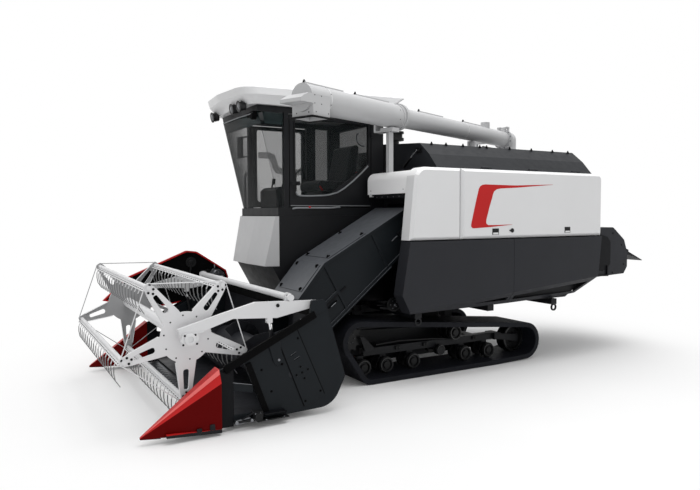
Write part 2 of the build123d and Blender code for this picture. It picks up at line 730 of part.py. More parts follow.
def feeder_house():
    body = slab_y(feeder_outline(), FEEDER_RIGHT, FEEDER_LEFT)
    for low in (FEEDER_LEFT - FEEDER_INSET, FEEDER_RIGHT):
        panel = [(x, z) for x, z in feeder_outline()]
        recess = offset(Face(closed_wire(panel, lambda x, z, at=low: (x, at, z))), -FEEDER_FLANGE)
        body = body - Solid.extrude(recess.faces()[0], (0, FEEDER_INSET, 0))
    ribs, ledge, plates = feeder_trim()
    deep = FEEDER_RIB[1]
    for low in (FEEDER_LEFT - FEEDER_INSET - 2, FEEDER_RIGHT + FEEDER_INSET - deep):
        side = slab_y(feeder_outline(), low, low + deep + 2)
        for outline in ribs:
            body = body + (slab_y(outline, low, low + deep + 2) & side)
    body = body + slab_y(ledge, FEEDER_RIGHT - FEEDER_LEDGE[1], FEEDER_LEFT + FEEDER_LEDGE[1])
    for outline in plates:
        body = body + slab_y(outline, FEEDER_RIGHT + DECK_PLATE_INSIDE, FEEDER_LEFT - DECK_PLATE_INSIDE)
    mouth_depth = 160
    mouth = slab_y([(FEEDER_NOSE[0] + 5, FEEDER_NOSE[1] - 80),
                    (FEEDER_NOSE[0] - mouth_depth, FEEDER_NOSE[1] + 20),
                    (FEEDER_NOSE[0] - mouth_depth, 520), (FEEDER_NOSE[0] + 5, 470)],
                   FEEDER_RIGHT + 30, FEEDER_LEFT - 30)
    body = body - mouth
    shaft = disc_y(*PIVOT, FEEDER_RIGHT - MOVE_GAP - BRACKET_THICK - 10,
                   FEEDER_LEFT + MOVE_GAP + BRACKET_THICK + 60, FEEDER_SHAFT_R)
    x, z = LIFT_EYE
    ear_in = LIFT_SIZES[3] / 2 + 1
    ears = [slab_y([(x - 45, z + 110), (x - 22, z - 20, 12), (x + 22, z - 20, 12), (x + 60, z + 60)],
                   low, low + 14) for low in (LIFT_Y - ear_in - 14, LIFT_Y + ear_in)]
    heads = [disc_y(x, z, low, low + 8, EYE_PIN_R + 3) for low in (LIFT_Y - ear_in - 22,
                                                                   LIFT_Y + ear_in + 14)]
    return joined([body, shaft] + ears + heads)


def header_sheet(left, right):
    """Trough, floor and back of the header with the hole to the feeder."""
    back = HEADER_BACK + 24
    section = [(CUTTER_X, HEADER_FLOOR), (back, HEADER_FLOOR, TROUGH_R + SHEET),
               (HEADER_BACK - 10, HEADER_TOP),
               (HEADER_BACK - 10 + SHEET, HEADER_TOP), (back + SHEET, HEADER_FLOOR + SHEET, TROUGH_R),
               (CUTTER_X, HEADER_FLOOR + SHEET)]
    sheet = slab_y(section, right, left)
    hole = block((HEADER_BACK - 60, HEADER_BACK + 90), (FEEDER_RIGHT + 30, FEEDER_LEFT - 30),
                 (470, HEADER_TOP - BEAM_TUBE - 4))
    return sheet - hole


def side_plate():
    """Left end plate, cut open between the front post and the slanting upright."""
    out = HEADER_MID + PLATE_OUT
    outline = [(POST_FRONT, POST_TOP - 12), (806, 818), (716, 866), (690, 850), (524, 288, 40),
               (640, 60, 190), (1060, 50), (POST_FRONT, 50)]
    plate = slab_y(outline, out - PLATE_THICK, out)
    opening = slab_y([(POST_REAR - 8, POST_TOP - 10), (1400, 500), (1252, 110), (POST_REAR - 8, 110)],
                     out - PLATE_THICK, out)
    plate = plate - opening
    strut = slab_y([(POST_REAR + 4, 300), (1330, 262), (1330, 322), (POST_REAR + 4, 358)],
                   out - PLATE_THICK, out)
    beam = slab_y([(1545, 452), (806, 806), (822, 838), (1561, 484)], out - 2, out + HEADER_RIM)
    upright = slab_y([(1352, 500), (1394, 484), (1240, 70), (1198, 86)], out - 2, out + 16)
    post = slab_y([(POST_REAR, POST_LOW), (POST_FRONT, POST_LOW), (POST_FRONT, POST_TOP - 10, 20),
                   (POST_REAR + 8, POST_TOP - 40, 30)], out - PLATE_THICK - POST_INSIDE, out + 14)
    bracket = slab_y([(690, 850), (716, 930, 14), (830, 930, 14), (850, 800)], out - PLATE_THICK, out + 10)
    return joined([plate, strut, beam, upright, post, bracket])


def header_end_plates():
    """End plates with the pins that carry the reel's arms and cylinders."""
    inner = HEADER_MID + PLATE_OUT - PLATE_THICK
    plate = side_plate() - disc_y(AUGER_X, AUGER_Z, inner, inner + PLATE_THICK, STUB_R + PIN_PLAY)
    arm_in = HEADER_MID + ARM_HALF - ARM_THICK / 2
    for x, z, radius in ((*ARM_PIVOT, ARM_PIN_R), (*REEL_FOOT, EYE_PIN_R)):
        plate = plate + disc_y(x, z, arm_in - 4, inner + 4, radius)
    return both_sides(plate, HEADER_MID)


def header_frame():
    """Trough between the end plates with the beams behind it and under the knife."""
    left = HEADER_MID + PLATE_OUT - PLATE_THICK - SEAT
    right = HEADER_MID - PLATE_OUT + PLATE_THICK + SEAT
    face = HEADER_BACK_FACE
    beam = block((face, face + BEAM_TUBE), (right, left), (HEADER_TOP - BEAM_TUBE, HEADER_TOP))
    low_beam = block((face, HEADER_BACK + 30), (FEEDER_RIGHT - 100, FEEDER_LEFT + 100), (400, 460))
    knife_beam = block((CUTTER_X - 70, CUTTER_X), (right, left), (HEADER_FLOOR - 22, HEADER_FLOOR + 4))
    frame = joined([header_sheet(left, right), beam, low_beam, knife_beam])
    notch = block((POST_REAR - SEAT, CUTTER_X + 1), (left - POST_INSIDE, left + 1), (0, POST_TOP))
    for cut in both_sides(notch, HEADER_MID):
        frame = frame - cut
    return frame


def guard(y):
    """One pointed knife guard."""
    tip = CUTTER_X + GUARD_LONG
    low = HEADER_FLOOR - 20
    outline = [(CUTTER_X + 4, y - 14), (CUTTER_X + 70, y - 10), (tip, y - 3), (tip, y + 3),
               (CUTTER_X + 70, y + 10), (CUTTER_X + 4, y + 14)]
    return slab_z(outline, low, low + 14)


def cutter_bar():
    """Guards in a row over the front beam, with the toothed knife on them."""
    reach = PLATE_OUT - PLATE_THICK - 30
    left = HEADER_MID + reach
    right = HEADER_MID - reach
    low = HEADER_FLOOR - 20
    strip = block((CUTTER_X + SEAT, CUTTER_X + 26), (right, left), (low, low + 14))
    count = int(2 * (PLATE_OUT + DIVIDER_IN - 40) / GUARD_PITCH)
    start = HEADER_MID - GUARD_PITCH * count / 2
    guards = [guard(start + i * GUARD_PITCH) for i in range(count + 1)]
    edge = [(CUTTER_X + 8, left), (CUTTER_X + 8, right)]
    for i in range(count):
        y = start + i * GUARD_PITCH
        edge += [(CUTTER_X + 30, y + 4), (CUTTER_X + 30 + KNIFE_TOOTH, y + GUARD_PITCH / 2 - 8),
                 (CUTTER_X + 30 + KNIFE_TOOTH, y + GUARD_PITCH / 2 + 8),
                 (CUTTER_X + 30, y + GUARD_PITCH - 4)]
    edge += [(CUTTER_X + 30, left)]
    knife = slab_z(edge, low + 14, low + 18)
    return joined([strip] + guards + [knife])


def knife_drive():
    """Rocker box and link that move the knife, outside the left end plate."""
    out = HEADER_MID + PLATE_OUT + SEAT
    box = block((1276, 1352), (out, out + 60), (56, 128))
    disc = disc_y(1314, 92, out + 58, out + 76, 30)
    link = bar((1314, out + 68, 74), (1470, out + 40, 66), 9)
    shelf = block((1060, 1320), (out, out + 66), (50, 58))
    return joined([box, disc, link, shelf])


def divider():
    """Pointed crop divider in front of the left post."""
    mid = HEADER_MID + PLATE_OUT - 4
    back = [(mid + DIVIDER_IN, DIVIDER_LOW), (mid + DIVIDER_OUT, DIVIDER_LOW),
            (mid + DIVIDER_OUT, DIVIDER_SHOULDER),
            (mid + DIVIDER_OUT - 50, DIVIDER_TOP), (mid + DIVIDER_IN, DIVIDER_TOP)]
    small = 9
    tip = [(mid - small, DIVIDER_TIP_Z - small), (mid + small, DIVIDER_TIP_Z - small),
           (mid + small, DIVIDER_TIP_Z), (mid + small / 2, DIVIDER_TIP_Z + small / 2),
           (mid - small, DIVIDER_TIP_Z + small / 2)]
    rear = Wire.make_polygon([(POST_FRONT + SEAT, y, z) for y, z in back], close=True)
    front = Wire.make_polygon([(DIVIDER_TIP, y, z) for y, z in tip], close=True)
    wedge = Solid.make_loft([rear, front], ruled=True)
    runner = slab_y([(POST_FRONT + SEAT, DIVIDER_LOW - 6), (2000, DIVIDER_TIP_Z - 12),
                     (2000, DIVIDER_TIP_Z + 8),
                     (POST_FRONT + SEAT, DIVIDER_LOW + 22)], mid + DIVIDER_OUT - 40, mid + DIVIDER_OUT)
    return wedge + runner


def dividers():
    return both_sides(divider(), HEADER_MID)


def reel_shield():
    """Six-sided guard over the reel drive outside the right end plate."""
    outline = [(2020, 720), (1760, 958), (1138, 1215, 60), (1022, 1201, 60), (687, 981), (661, 899),
               (800, 700), (1500, 610)]
    out = HEADER_MID - PLATE_OUT - HEADER_RIM - SEAT
    return pan_right(outline, 16, out - 34, out)


def pan_right(outline, wall, low, high):
    """Cover that is hollow from its left side."""
    plate = slab_y(outline, low, high)
    inner = offset(Face(closed_wire(outline, lambda x, z: (x, low + wall, z))), -wall)
    return plate - Solid.extrude(inner.faces()[0], (0, high - low - wall, 0))


def flight(start, end, turns):
    """Screw blade round the header auger, from one y to the other, as flat triangles."""
    steps = max(2, round(abs(turns) * AUGER_STEPS))
    inner = AUGER_DRUM_R - 6

    def ring(i):
        angle = 2 * pi * turns * i / steps
        y = start + (end - start) * i / steps
        spots = []
        for radius, shift in ((inner, 0), (AUGER_FLIGHT_R, 0), (AUGER_FLIGHT_R, FLIGHT_THICK),
                              (inner, FLIGHT_THICK)):
            spots.append((AUGER_X + radius * cos(angle), y + shift, AUGER_Z + radius * sin(angle)))
        return spots

    rings = [ring(i) for i in range(steps + 1)]
    faces = [Face(Wire.make_polygon(rings[0], close=True)), Face(Wire.make_polygon(rings[-1], close=True))]
    for a, b in zip(rings, rings[1:]):
        for j in range(4):
            k = (j + 1) % 4
            faces.append(Face(Wire.make_polygon([a[j], a[k], b[k]], close=True)))
            faces.append(Face(Wire.make_polygon([a[j], b[k], b[j]], close=True)))
    return Solid(Shell(faces))


def header_auger():
    """Drum with screw flights that carry the crop to the feeder's mouth, and fingers there."""
    left = HEADER_MID + PLATE_OUT - PLATE_THICK
    right = HEADER_MID - PLATE_OUT + PLATE_THICK
    drum = disc_y(AUGER_X, AUGER_Z, right + AUGER_END, left - AUGER_END, AUGER_DRUM_R)
    stub = disc_y(AUGER_X, AUGER_Z, right - PLATE_THICK + 2, left + PLATE_THICK - 2, STUB_R)
    left_end = left - AUGER_END - FLIGHT_END - FLIGHT_THICK
    right_end = right + AUGER_END + FLIGHT_END
    blades = [flight(FEEDER_LEFT - 30, left_end, (left_end - FEEDER_LEFT + 30) / AUGER_PITCH),
              flight(right_end, FEEDER_RIGHT + 20, -(FEEDER_RIGHT + 20 - right_end) / AUGER_PITCH)]
    fingers = []
    span = FEEDER_LEFT - FEEDER_RIGHT - 160
    for i in range(6):
        angle = 2 * pi * i / 3 + 0.5
        y = FEEDER_RIGHT + 80 + span * i / 5
        fingers.append(bar((AUGER_X, y, AUGER_Z), (AUGER_X + 235 * cos(angle), y,
                                                   AUGER_Z + 235 * sin(angle)), 7))
    return joined([drum, stub] + blades + fingers)


def reel_spot(i):
    """Centre of one tine bar in the side view."""
    angle = radians(REEL_START + 360 / REEL_ARMS * i)
    return REEL_X + REEL_R * cos(angle), REEL_Z + REEL_R * sin(angle)


def spoke(i, low):
    """Tapered arm of a spider, slotted along its middle."""
    angle = radians(REEL_START + 360 / REEL_ARMS * i)

    def spot(along, across):
        return (REEL_X + along * cos(angle) - across * sin(angle),
                REEL_Z + along * sin(angle) + across * cos(angle))

    arm = slab_y([spot(150, -SPOKE_ROOT), spot(REEL_R - 40, -SPOKE_TIP), (*spot(REEL_R + 30, -26), 16),
                  (*spot(REEL_R + 30, 26), 16), spot(REEL_R - 40, SPOKE_TIP), spot(150, SPOKE_ROOT)],
                 low, low + SPIDER_THICK)
    slot = slab_y([(*spot(238, -24), 20), (*spot(392, -17), 14), (*spot(392, 17), 14),
                   (*spot(238, 24), 20)],
                  low, low + SPIDER_THICK)
    return arm - slot


def spider(low):
    hub = disc_y(REEL_X, REEL_Z, low, low + SPIDER_THICK, REEL_HUB_R)
    whole = joined([hub] + [spoke(i, low) for i in range(REEL_ARMS)])
    for i in range(REEL_ARMS):
        whole = whole - disc_y(*reel_spot(i), low, low + SPIDER_THICK, BAR_PIN_R + PIN_PLAY)
    return whole


def reel_stays():
    """Thin rods between the tips of neighbouring arms, on the outer face of each spider."""
    stays = []
    for y in (HEADER_MID + REEL_HALF + 2, HEADER_MID - REEL_HALF - 2):
        for i in range(REEL_ARMS):
            ends = []
            for number, side in ((i, 1), (i + 1, -1)):
                angle = radians(REEL_START + 360 / REEL_ARMS * number)
                along, across = REEL_R + STAY_SPOT[0], side * STAY_SPOT[1]
                ends.append((REEL_X + along * cos(angle) - across * sin(angle), y,
                             REEL_Z + along * sin(angle) + across * cos(angle)))
            stays.append(bar(*ends, STAY_R))
    return stays


def reel_rotor():
    left = HEADER_MID + REEL_HALF - SPIDER_THICK
    right = HEADER_MID - REEL_HALF
    tube = disc_y(REEL_X, REEL_Z, right, left + SPIDER_THICK, REEL_TUBE_R)
    reach = HEADER_MID + ARM_HALF + ARM_THICK / 2 + 6
    axle = disc_y(REEL_X, REEL_Z, 2 * HEADER_MID - reach, reach, REEL_AXLE_R)
    return joined([spider(left), spider(right), tube, axle] + reel_stays())


def tine(x, y, z):
    """One spring tine that hangs from a bar's strip, bowed forward."""
    wide = TINE_WIDTH / 2
    out, down = STRIP_REACH
    front = [(out, down), (out + 12, down - 30), (out + 13, down - 80), (out + 4, down - 130),
             (8, -TINE_LONG)]
    back = [(a - TINE_WIDTH, b) for a, b in reversed(front)]
    return slab_y([(x + a, z + b) for a, b in front + back], y - wide, y + wide)


def tine_bar(i):
    """Tube between the spiders with its row of tines and a capped pin at each end."""
    x, z = reel_spot(i)
    left = HEADER_MID + REEL_HALF
    right = HEADER_MID - REEL_HALF
    tube = disc_y(x, z, right + SPIDER_THICK + 1, left - SPIDER_THICK - 1, BAR_R)
    pin = disc_y(x, z, right - 2, left + 2, BAR_PIN_R)
    caps = [disc_y(x, z, low, low + 8, BAR_R) for low in (left + 1, right - 9)]
    count = int((2 * REEL_HALF - 160) / TINE_PITCH)
    start = HEADER_MID - TINE_PITCH * count / 2
    tines = [tine(x, start + j * TINE_PITCH, z) for j in range(count + 1)]
    out, down = STRIP_REACH
    strip = slab_y([(x, z), (x + out, z + down), (x + out, z + down - STRIP_THICK), (x, z - STRIP_THICK)],
                   right + SPIDER_THICK + MOVE_GAP + 1, left - SPIDER_THICK - MOVE_GAP - 1)
    return joined([tube, pin, strip] + caps + tines)


def reel_arm():
    low = HEADER_MID + ARM_HALF - ARM_THICK / 2
    x, z = ARM_PIVOT
    outline = [(x - 30, z + 24), (x - 28, z - 22), (1111, 809), (1469, 832), (1720, 752),
               (REEL_X - 62, REEL_Z - 30),
               (REEL_X + 50, REEL_Z - 40), (1881, 788), (1553, 876), (1284, 943)]
    arm = slab_y(outline, low, low + ARM_THICK)
    arm = arm + disc_y(REEL_X, REEL_Z, low, low + ARM_THICK, BEARING_R)
    arm = arm - disc_y(REEL_X, REEL_Z, low, low + ARM_THICK, REEL_AXLE_R + PIN_PLAY)
    arm = arm - disc_y(x, z, low, low + ARM_THICK, ARM_PIN_R + PIN_PLAY)
    ex, ez = REEL_EYE
    slot = block((ex - 30, ex + 30), (low + ARM_THICK / 2 - EYE_WIDE / 2 - 1,
                                      low + ARM_THICK / 2 + EYE_WIDE / 2 + 1),
                 (ez - 40, ez + 34))
    lug = block((ex - 22, ex + 22), (low, low + ARM_THICK), (ez - 18, 830))
    return (arm + lug) - slot


def reel_arms():
    top = 934
    tube = disc_y(LINK_TUBE_X, top + LINK_TUBE_R - 4, HEADER_MID - ARM_HALF - ARM_THICK / 2,
                  HEADER_MID + ARM_HALF + ARM_THICK / 2, LINK_TUBE_R)
    return joined(both_sides(reel_arm(), HEADER_MID) + [tube])


def cylinder(foot, eye, y, sizes):
    """Barrel and rod of a cylinder; the barrel's foot has a bore and the rod ends in a plain boss."""
    barrel_r, rod_r, barrel_long, eye_wide = sizes
    span = hypot(eye[0] - foot[0], eye[1] - foot[1])
    along = ((eye[0] - foot[0]) / span, (eye[1] - foot[1]) / span)

    def spot(distance):
        return (foot[0] + along[0] * distance, y, foot[1] + along[1] * distance)

    boss = EYE_PIN_R + 10
    half = eye_wide / 2
    barrel = bar(spot(boss + 10), spot(barrel_long), barrel_r) - bar(spot(boss + 20), spot(barrel_long),
                                                                     rod_r + PIN_PLAY)
    barrel = barrel + bar(spot(boss - 6), spot(boss + 12), rod_r)
    ring = disc_y(*foot, y - half, y + half, boss)
    barrel = (barrel + ring) - disc_y(*foot, y - half, y + half, EYE_PIN_R + PIN_PLAY)
    rod = bar(spot(boss + 24), spot(span - boss + 3), rod_r)
    rod = rod + disc_y(*eye, y - half, y + half, boss)
    return barrel, rod


def reel_cylinder(which):
    part = cylinder(REEL_FOOT, REEL_EYE, HEADER_MID + ARM_HALF, REEL_SIZES)[which]
    return both_sides(part, HEADER_MID)


def cab_base():
    """Dark shell under the cab, open below, round the engine."""
    front = NOSE_BACK - SEAT
    top = NOSE_LOW - SEAT
    side = [(CAB_REAR, CAB_SILL), (front, CAB_SILL), (front, top), (640, top), (500, 850), (430, BASE_LOW),
            (CAB_REAR, BASE_LOW)]
    shell = slab_y(side, CAB_RIGHT, CAB_LEFT)
    room = slab_y([(CAB_REAR + BASE_WALL, CAB_SILL - BASE_WALL), (NOSE_BACK - 40, CAB_SILL - BASE_WALL),
                   (NOSE_BACK - 40, NOSE_LOW - 30), (460, 860), (390, BASE_LOW - 5),
                   (CAB_REAR + BASE_WALL, BASE_LOW - 5)],
                  CAB_RIGHT + BASE_WALL, CAB_LEFT - BASE_WALL)
    return shell - room


def radiator_screen():
    """Framed screen with slanting slats on the right side of the cab's base."""
    (low_x, high_x), (low_z, high_z), deep, rim = SCREEN_X, SCREEN_Z, SCREEN_DEEP, SCREEN_RIM
    outer = CAB_RIGHT - SEAT - deep
    frame = block(SCREEN_X, (outer, outer + deep), SCREEN_Z)
    frame = frame - block((low_x + rim, high_x - rim), (outer, outer + deep - 3),
                          (low_z + rim, high_z - rim))
    slats = []
    step = (high_z - low_z - 2 * rim) / SCREEN_SLATS
    for i in range(SCREEN_SLATS):
        z = low_z + rim + step * (i + 0.2)
        slats.append(slab_x([(outer + 3, z), (outer + 3, z + 5), (outer + deep - 2, z + 23),
                             (outer + deep - 2, z + 18)], low_x + rim - 2, high_x - rim + 2))
    return joined([frame] + slats)


def cab_nose():
    """White front panel that bulges forward and down."""
    mid = (CAB_LEFT + CAB_RIGHT) / 2
    half = (CAB_LEFT - CAB_RIGHT) / 2

    def section(z, crease, crown, inset):
        spots = [(NOSE_BACK, mid + half + 5), (crease, mid + half - inset), (crown, mid),
                 (crease, mid - half + inset), (NOSE_BACK, mid - half - 5)]
        return Wire.make_polygon([(x, y, z) for x, y in spots], close=True)

    return Solid.make_loft([section(NOSE_TOP, 598, 612, 10), section(NOSE_LOW, 700, 724, 46)], ruled=True)


def cab_frame():
    """Floor, posts and top rails; the windscreen leans out over the sill."""
    left = (CAB_LEFT - POST, CAB_LEFT)
    right = (CAB_RIGHT, CAB_RIGHT + POST)
    height = (CAB_FLOOR - 2, CAB_EAVES)
    floor = block((CAB_REAR, GLASS_LOW_X + 16), (CAB_RIGHT, CAB_LEFT), (CAB_SILL + SEAT, CAB_FLOOR))
    parts = [floor]
    for side in (left, right):
        parts.append(block((A_POST_X, A_POST_X + POST), side, height))
        parts.append(block((CAB_REAR, CAB_REAR + REAR_POST_LONG), side, height))
        rail = slab_y([(CAB_REAR, CAB_EAVES - 6), (GLASS_HIGH_X - 6, CAB_EAVES - 6),
                       (GLASS_HIGH_X + 6, CAB_ROOF_LOW), (CAB_REAR, CAB_ROOF_LOW)], *side)
        parts.append(rail)
    parts.append(block((B_POST_X, B_POST_X + B_POST_LONG), right, height))
    parts.append(block((CAB_REAR, B_POST_X + 10), (CAB_RIGHT + 8, CAB_RIGHT + 34),
                       (CAB_FLOOR - 2, SIDE_WALL_TOP)))
    parts.append(slab_y([(GLASS_HIGH_X - 70, CAB_EAVES - 6), (GLASS_HIGH_X - 6, CAB_EAVES - 6),
                         (GLASS_HIGH_X + 6, CAB_ROOF_LOW), (GLASS_HIGH_X - 70,
                                                            CAB_ROOF_LOW)], CAB_RIGHT, CAB_LEFT))
    parts.append(block((CAB_REAR, CAB_REAR + 60), (CAB_RIGHT, CAB_LEFT), (CAB_EAVES - 30, CAB_ROOF_LOW)))
    parts.append(block((CAB_REAR, CAB_REAR + 26), (CAB_RIGHT, CAB_LEFT), (CAB_FLOOR - 2, REAR_WALL_TOP)))
    return joined(parts + door_knuckles(0, CAB_REAR + REAR_POST_LONG, CAB_LEFT, 1)
                  + door_knuckles(0, B_POST_X + B_POST_LONG, CAB_RIGHT, -1))


def door_knuckles(lift, x, face, side):
    """Hinge knuckles at the rear edge of a door; side is 1 on the left and -1 on the right."""
    knuckles = []
    y = face + side * (DOOR_HINGE_R + 1)
    for z in DOOR_HINGE_Z:
        knuckles.append(bar((x, y, z + lift), (x, y, z + lift + 32), DOOR_HINGE_R))
        reach = x + 24 if lift else x - 24
        leaf = block(sorted((reach, x)), sorted((y - side * 4, face - side * 2)), (z + lift, z + lift + 32))
        knuckles.append(leaf)
    return knuckles


def cab_roof():
    """Rounded roof with a drooping brim in front, its lip overhanging more behind than below."""
    mid_y = (CAB_LEFT + CAB_RIGHT) / 2

    def section(z, rise, front, rear, over, corner, bulge=ROOF_BULGE):
        shoulder = front - bulge
        spots = [(shoulder, CAB_RIGHT - over, corner), (front, mid_y, 600),
                 (shoulder, CAB_LEFT + over, corner),
                 (rear, CAB_LEFT + over, 50), (rear, CAB_RIGHT - over, 50)]
        slope = rise / (ROOF_FRONT - ROOF_REAR)
        return closed_wire(spots, lambda x, y: (x, y, z + slope * (ROOF_FRONT - x)))

    low = section(CAB_ROOF_LOW + SEAT, 0, ROOF_FRONT_LOW, ROOF_REAR + 70, ROOF_OVER - 34,
                  ROOF_CORNER - 80, 24)
    mid = section(ROOF_MID, 0.5 * ROOF_RISE, ROOF_FRONT, ROOF_REAR, ROOF_OVER, ROOF_CORNER)
    lip = section(ROOF_MID + ROOF_LIP, 0.62 * ROOF_RISE, ROOF_FRONT + 25, ROOF_REAR - ROOF_TAIL,
                  ROOF_OVER - 14, ROOF_CORNER)
    top = section(ROOF_TOP, ROOF_RISE, ROOF_FRONT - 40, ROOF_REAR - 40, ROOF_OVER - 70, ROOF_CORNER - 40)
    return joined([Solid.make_loft([a, b], ruled=True) for a, b in ((low, mid), (mid, lip), (lip, top))])


def windscreen():
    lean = (GLASS_HIGH_X - GLASS_LOW_X) / (CAB_EAVES - CAB_FLOOR)
    low = CAB_FLOOR + SEAT
    high = CAB_EAVES - 6 - SEAT
    x_low = GLASS_LOW_X
    x_high = x_low + lean * (high - low)
    return slab_y([(x_low - GLASS, low), (x_low, low), (x_high, high), (x_high - GLASS, high)],
                  CAB_RIGHT + 3, CAB_LEFT - 3)


def cab_glass():
    """Windscreen, front quarter panes, rear pane and the small pane behind the right door."""
    lean = (GLASS_HIGH_X - GLASS_LOW_X) / (CAB_EAVES - CAB_FLOOR)
    low = CAB_FLOOR + SEAT
    high = CAB_EAVES - 6 - SEAT
    gap = GLASS + SEAT
    panes = [windscreen()]
    for side in (CAB_LEFT - 20, CAB_RIGHT + 20 - GLASS):
        outline = [(A_POST_X + POST + SEAT, low), (GLASS_LOW_X - gap, low),
                   (GLASS_LOW_X + lean * (high - low) - gap, high), (A_POST_X + POST + SEAT, high)]
        panes.append(slab_y(outline, side, side + GLASS))
    panes.append(block((CAB_REAR + 8, CAB_REAR + 8 + GLASS), (CAB_RIGHT + POST + SEAT,
                                                              CAB_LEFT - POST - SEAT),
                       (REAR_WALL_TOP + SEAT, CAB_EAVES - 30 - SEAT)))
    panes.append(block((CAB_REAR + REAR_POST_LONG + SEAT, B_POST_X - SEAT),
                       (CAB_RIGHT + 18, CAB_RIGHT + 18 + GLASS), (SIDE_WALL_TOP + SEAT, high)))
    return panes


def left_door_outline():
    return [(CAB_REAR + REAR_POST_LONG + DOOR_GAP, CAB_FLOOR + DOOR_GAP),
            (A_POST_X - DOOR_GAP, CAB_FLOOR + DOOR_GAP),
            (A_POST_X - DOOR_GAP, CAB_EAVES - 6 - DOOR_GAP), (CAB_REAR + REAR_POST_LONG + DOOR_GAP,
                                                              CAB_EAVES - 6 - DOOR_GAP)]


def left_window(grow):
    """Window of the left door: a cut-off lower rear corner and a rounded lower front one."""
    front = A_POST_X - DOOR_GAP - 62 + grow
    rear = CAB_REAR + REAR_POST_LONG + DOOR_GAP + 26 - grow
    low = WINDOW_LOW - grow
    top = CAB_EAVES - 6 - DOOR_GAP - 40 + grow
    notch = WINDOW_LOW + 0.41 * (CAB_EAVES - WINDOW_LOW) - grow
    return [(front, low, 60), (20, low, 120), (rear, notch, 30), (rear, top, 20), (front, top, 20)]


def left_door():
    low = CAB_LEFT - DOOR_THICK
    door = slab_y(left_door_outline(), low, CAB_LEFT)
    door = door - slab_y(left_window(0), low, CAB_LEFT)
    latch_x = A_POST_X - DOOR_GAP - 40
    latch = block((latch_x - 60, latch_x + 30), (CAB_LEFT - 2, CAB_LEFT + 10), (1900, 1938))
    knob = disc_y(latch_x - 46, 1919, CAB_LEFT + 8, CAB_LEFT + 26, 17)
    return joined([door, latch, knob] + door_knuckles(32 + SEAT, CAB_REAR + REAR_POST_LONG, CAB_LEFT, 1))


def left_door_glass():
    pane = slab_y(left_window(-SEAT), CAB_LEFT - 24, CAB_LEFT - 24 + GLASS)
    return pane


def right_door():
    """Glazed entry door with a slim frame."""
    rear = B_POST_X + B_POST_LONG + DOOR_GAP
    front = A_POST_X - DOOR_GAP
    low = CAB_FLOOR + DOOR_GAP
    high = CAB_EAVES - 6 - DOOR_GAP
    frame = slab_y([(rear, low), (front, low), (front, high), (rear, high)], CAB_RIGHT,
                   CAB_RIGHT + DOOR_THICK)
    frame = frame - slab_y([(rear + 40, low + 60, 40), (front - 40, low + 60, 40),
                            (front - 40, high - 40, 30),
                            (rear + 40, high - 40, 30)], CAB_RIGHT, CAB_RIGHT + DOOR_THICK)
    handle = bar((front - 22, CAB_RIGHT - 26, 1980), (front - 22, CAB_RIGHT - 26, 2130), 9)
    feet = [bar((front - 22, CAB_RIGHT - 26, z), (front - 22, CAB_RIGHT + 4, z), 8) for z in (1990, 2120)]
    return joined([frame, handle] + feet + door_knuckles(32 + SEAT, B_POST_X + B_POST_LONG, CAB_RIGHT, -1))


def right_door_glass():
    rear = B_POST_X + B_POST_LONG + DOOR_GAP + 40
    front = A_POST_X - DOOR_GAP - 40
    low = CAB_FLOOR + DOOR_GAP + 60
    high = CAB_EAVES - 6 - DOOR_GAP - 40
    return slab_y([(rear + SEAT, low + SEAT, 40), (front - SEAT, low + SEAT, 40),
                   (front - SEAT, high - SEAT, 30),
                   (rear + SEAT, high - SEAT, 30)], CAB_RIGHT + 18, CAB_RIGHT + 18 + GLASS)


SEAT_MID = (-250, -350)


def seat_base():
    x, y = SEAT_MID
    plinth = block((x - 170, x + 170), (y - 190, y + 190), (CAB_FLOOR, CAB_FLOOR + 190))
    frame = slab_y([(x - 215, CAB_FLOOR + 170), (x - 190, CAB_FLOOR + 170),
                    (x - 270, CAB_FLOOR + SEAT_BACK + 138),
                    (x - 295, CAB_FLOOR + SEAT_BACK + 138)], y - 160, y + 160)
    link = block((x - 215, x - 165), (y - 160, y + 160), (CAB_FLOOR + 160, CAB_FLOOR + 190))
    return joined([plinth, frame, link])


def seat_pad():
    """Cushion and backrest, soft."""
    x, y = SEAT_MID
    low = CAB_FLOOR + 190 + SEAT
    cushion = slab_y([(x - 160, low, 20), (x + 240, low, 30), (x + 250, low + 100, 40),
                      (x - 160, low + 90, 20)],
                     y - 235, y + 235)
    back = slab_y([(x - 186, low + 20, 20), (x - 110, low + 100, 30), (x - 190, low + SEAT_BACK, 40),
                   (x - 265, low + SEAT_BACK, 30)],
                  y - 230, y + 230)
    return [cushion, back]


def cab_console():
    """Control box in front of the seat with its two levers."""
    box = slab_y([(300, CAB_FLOOR), (470, CAB_FLOOR), (470, 1860), (420, 1900, 20), (310, 1850, 20)],
                 -560, -140)
    parts = [box]
    for y, top in ((-200, 1990), (-480, 1975)):
        parts.append(bar((380, y, 1860), (350, y, top), 9))
        parts.append(bar((352, y, top - 40), (345, y, top + 20), 18))
    return joined(parts)


def cab_mirror():
    """Side mirror on a bent bracket at the right front post."""
    y = CAB_RIGHT
    reach = y - MIRROR_REACH
    x = A_POST_X + 60
    low, high = CAB_EAVES - MIRROR_DROP, CAB_EAVES - MIRROR_DROP + MIRROR_HIGH
    parts = [bar((x, reach, low - 8), (x, reach, high + 8), 8)]
    for z in (low, high):
        parts.append(bar((x - 30, y - 6, z), (x, reach, z), 8))
        parts.append(block((x - 50, x - 15), (y - 12, y - SEAT), (z - 20, z + 20)))
    parts.append(block((x - 8, x + 16), (reach - 95, reach + 30), (low - 10, high + 10)))
    return joined(parts)


LAMPS = (-760, -160, 40)


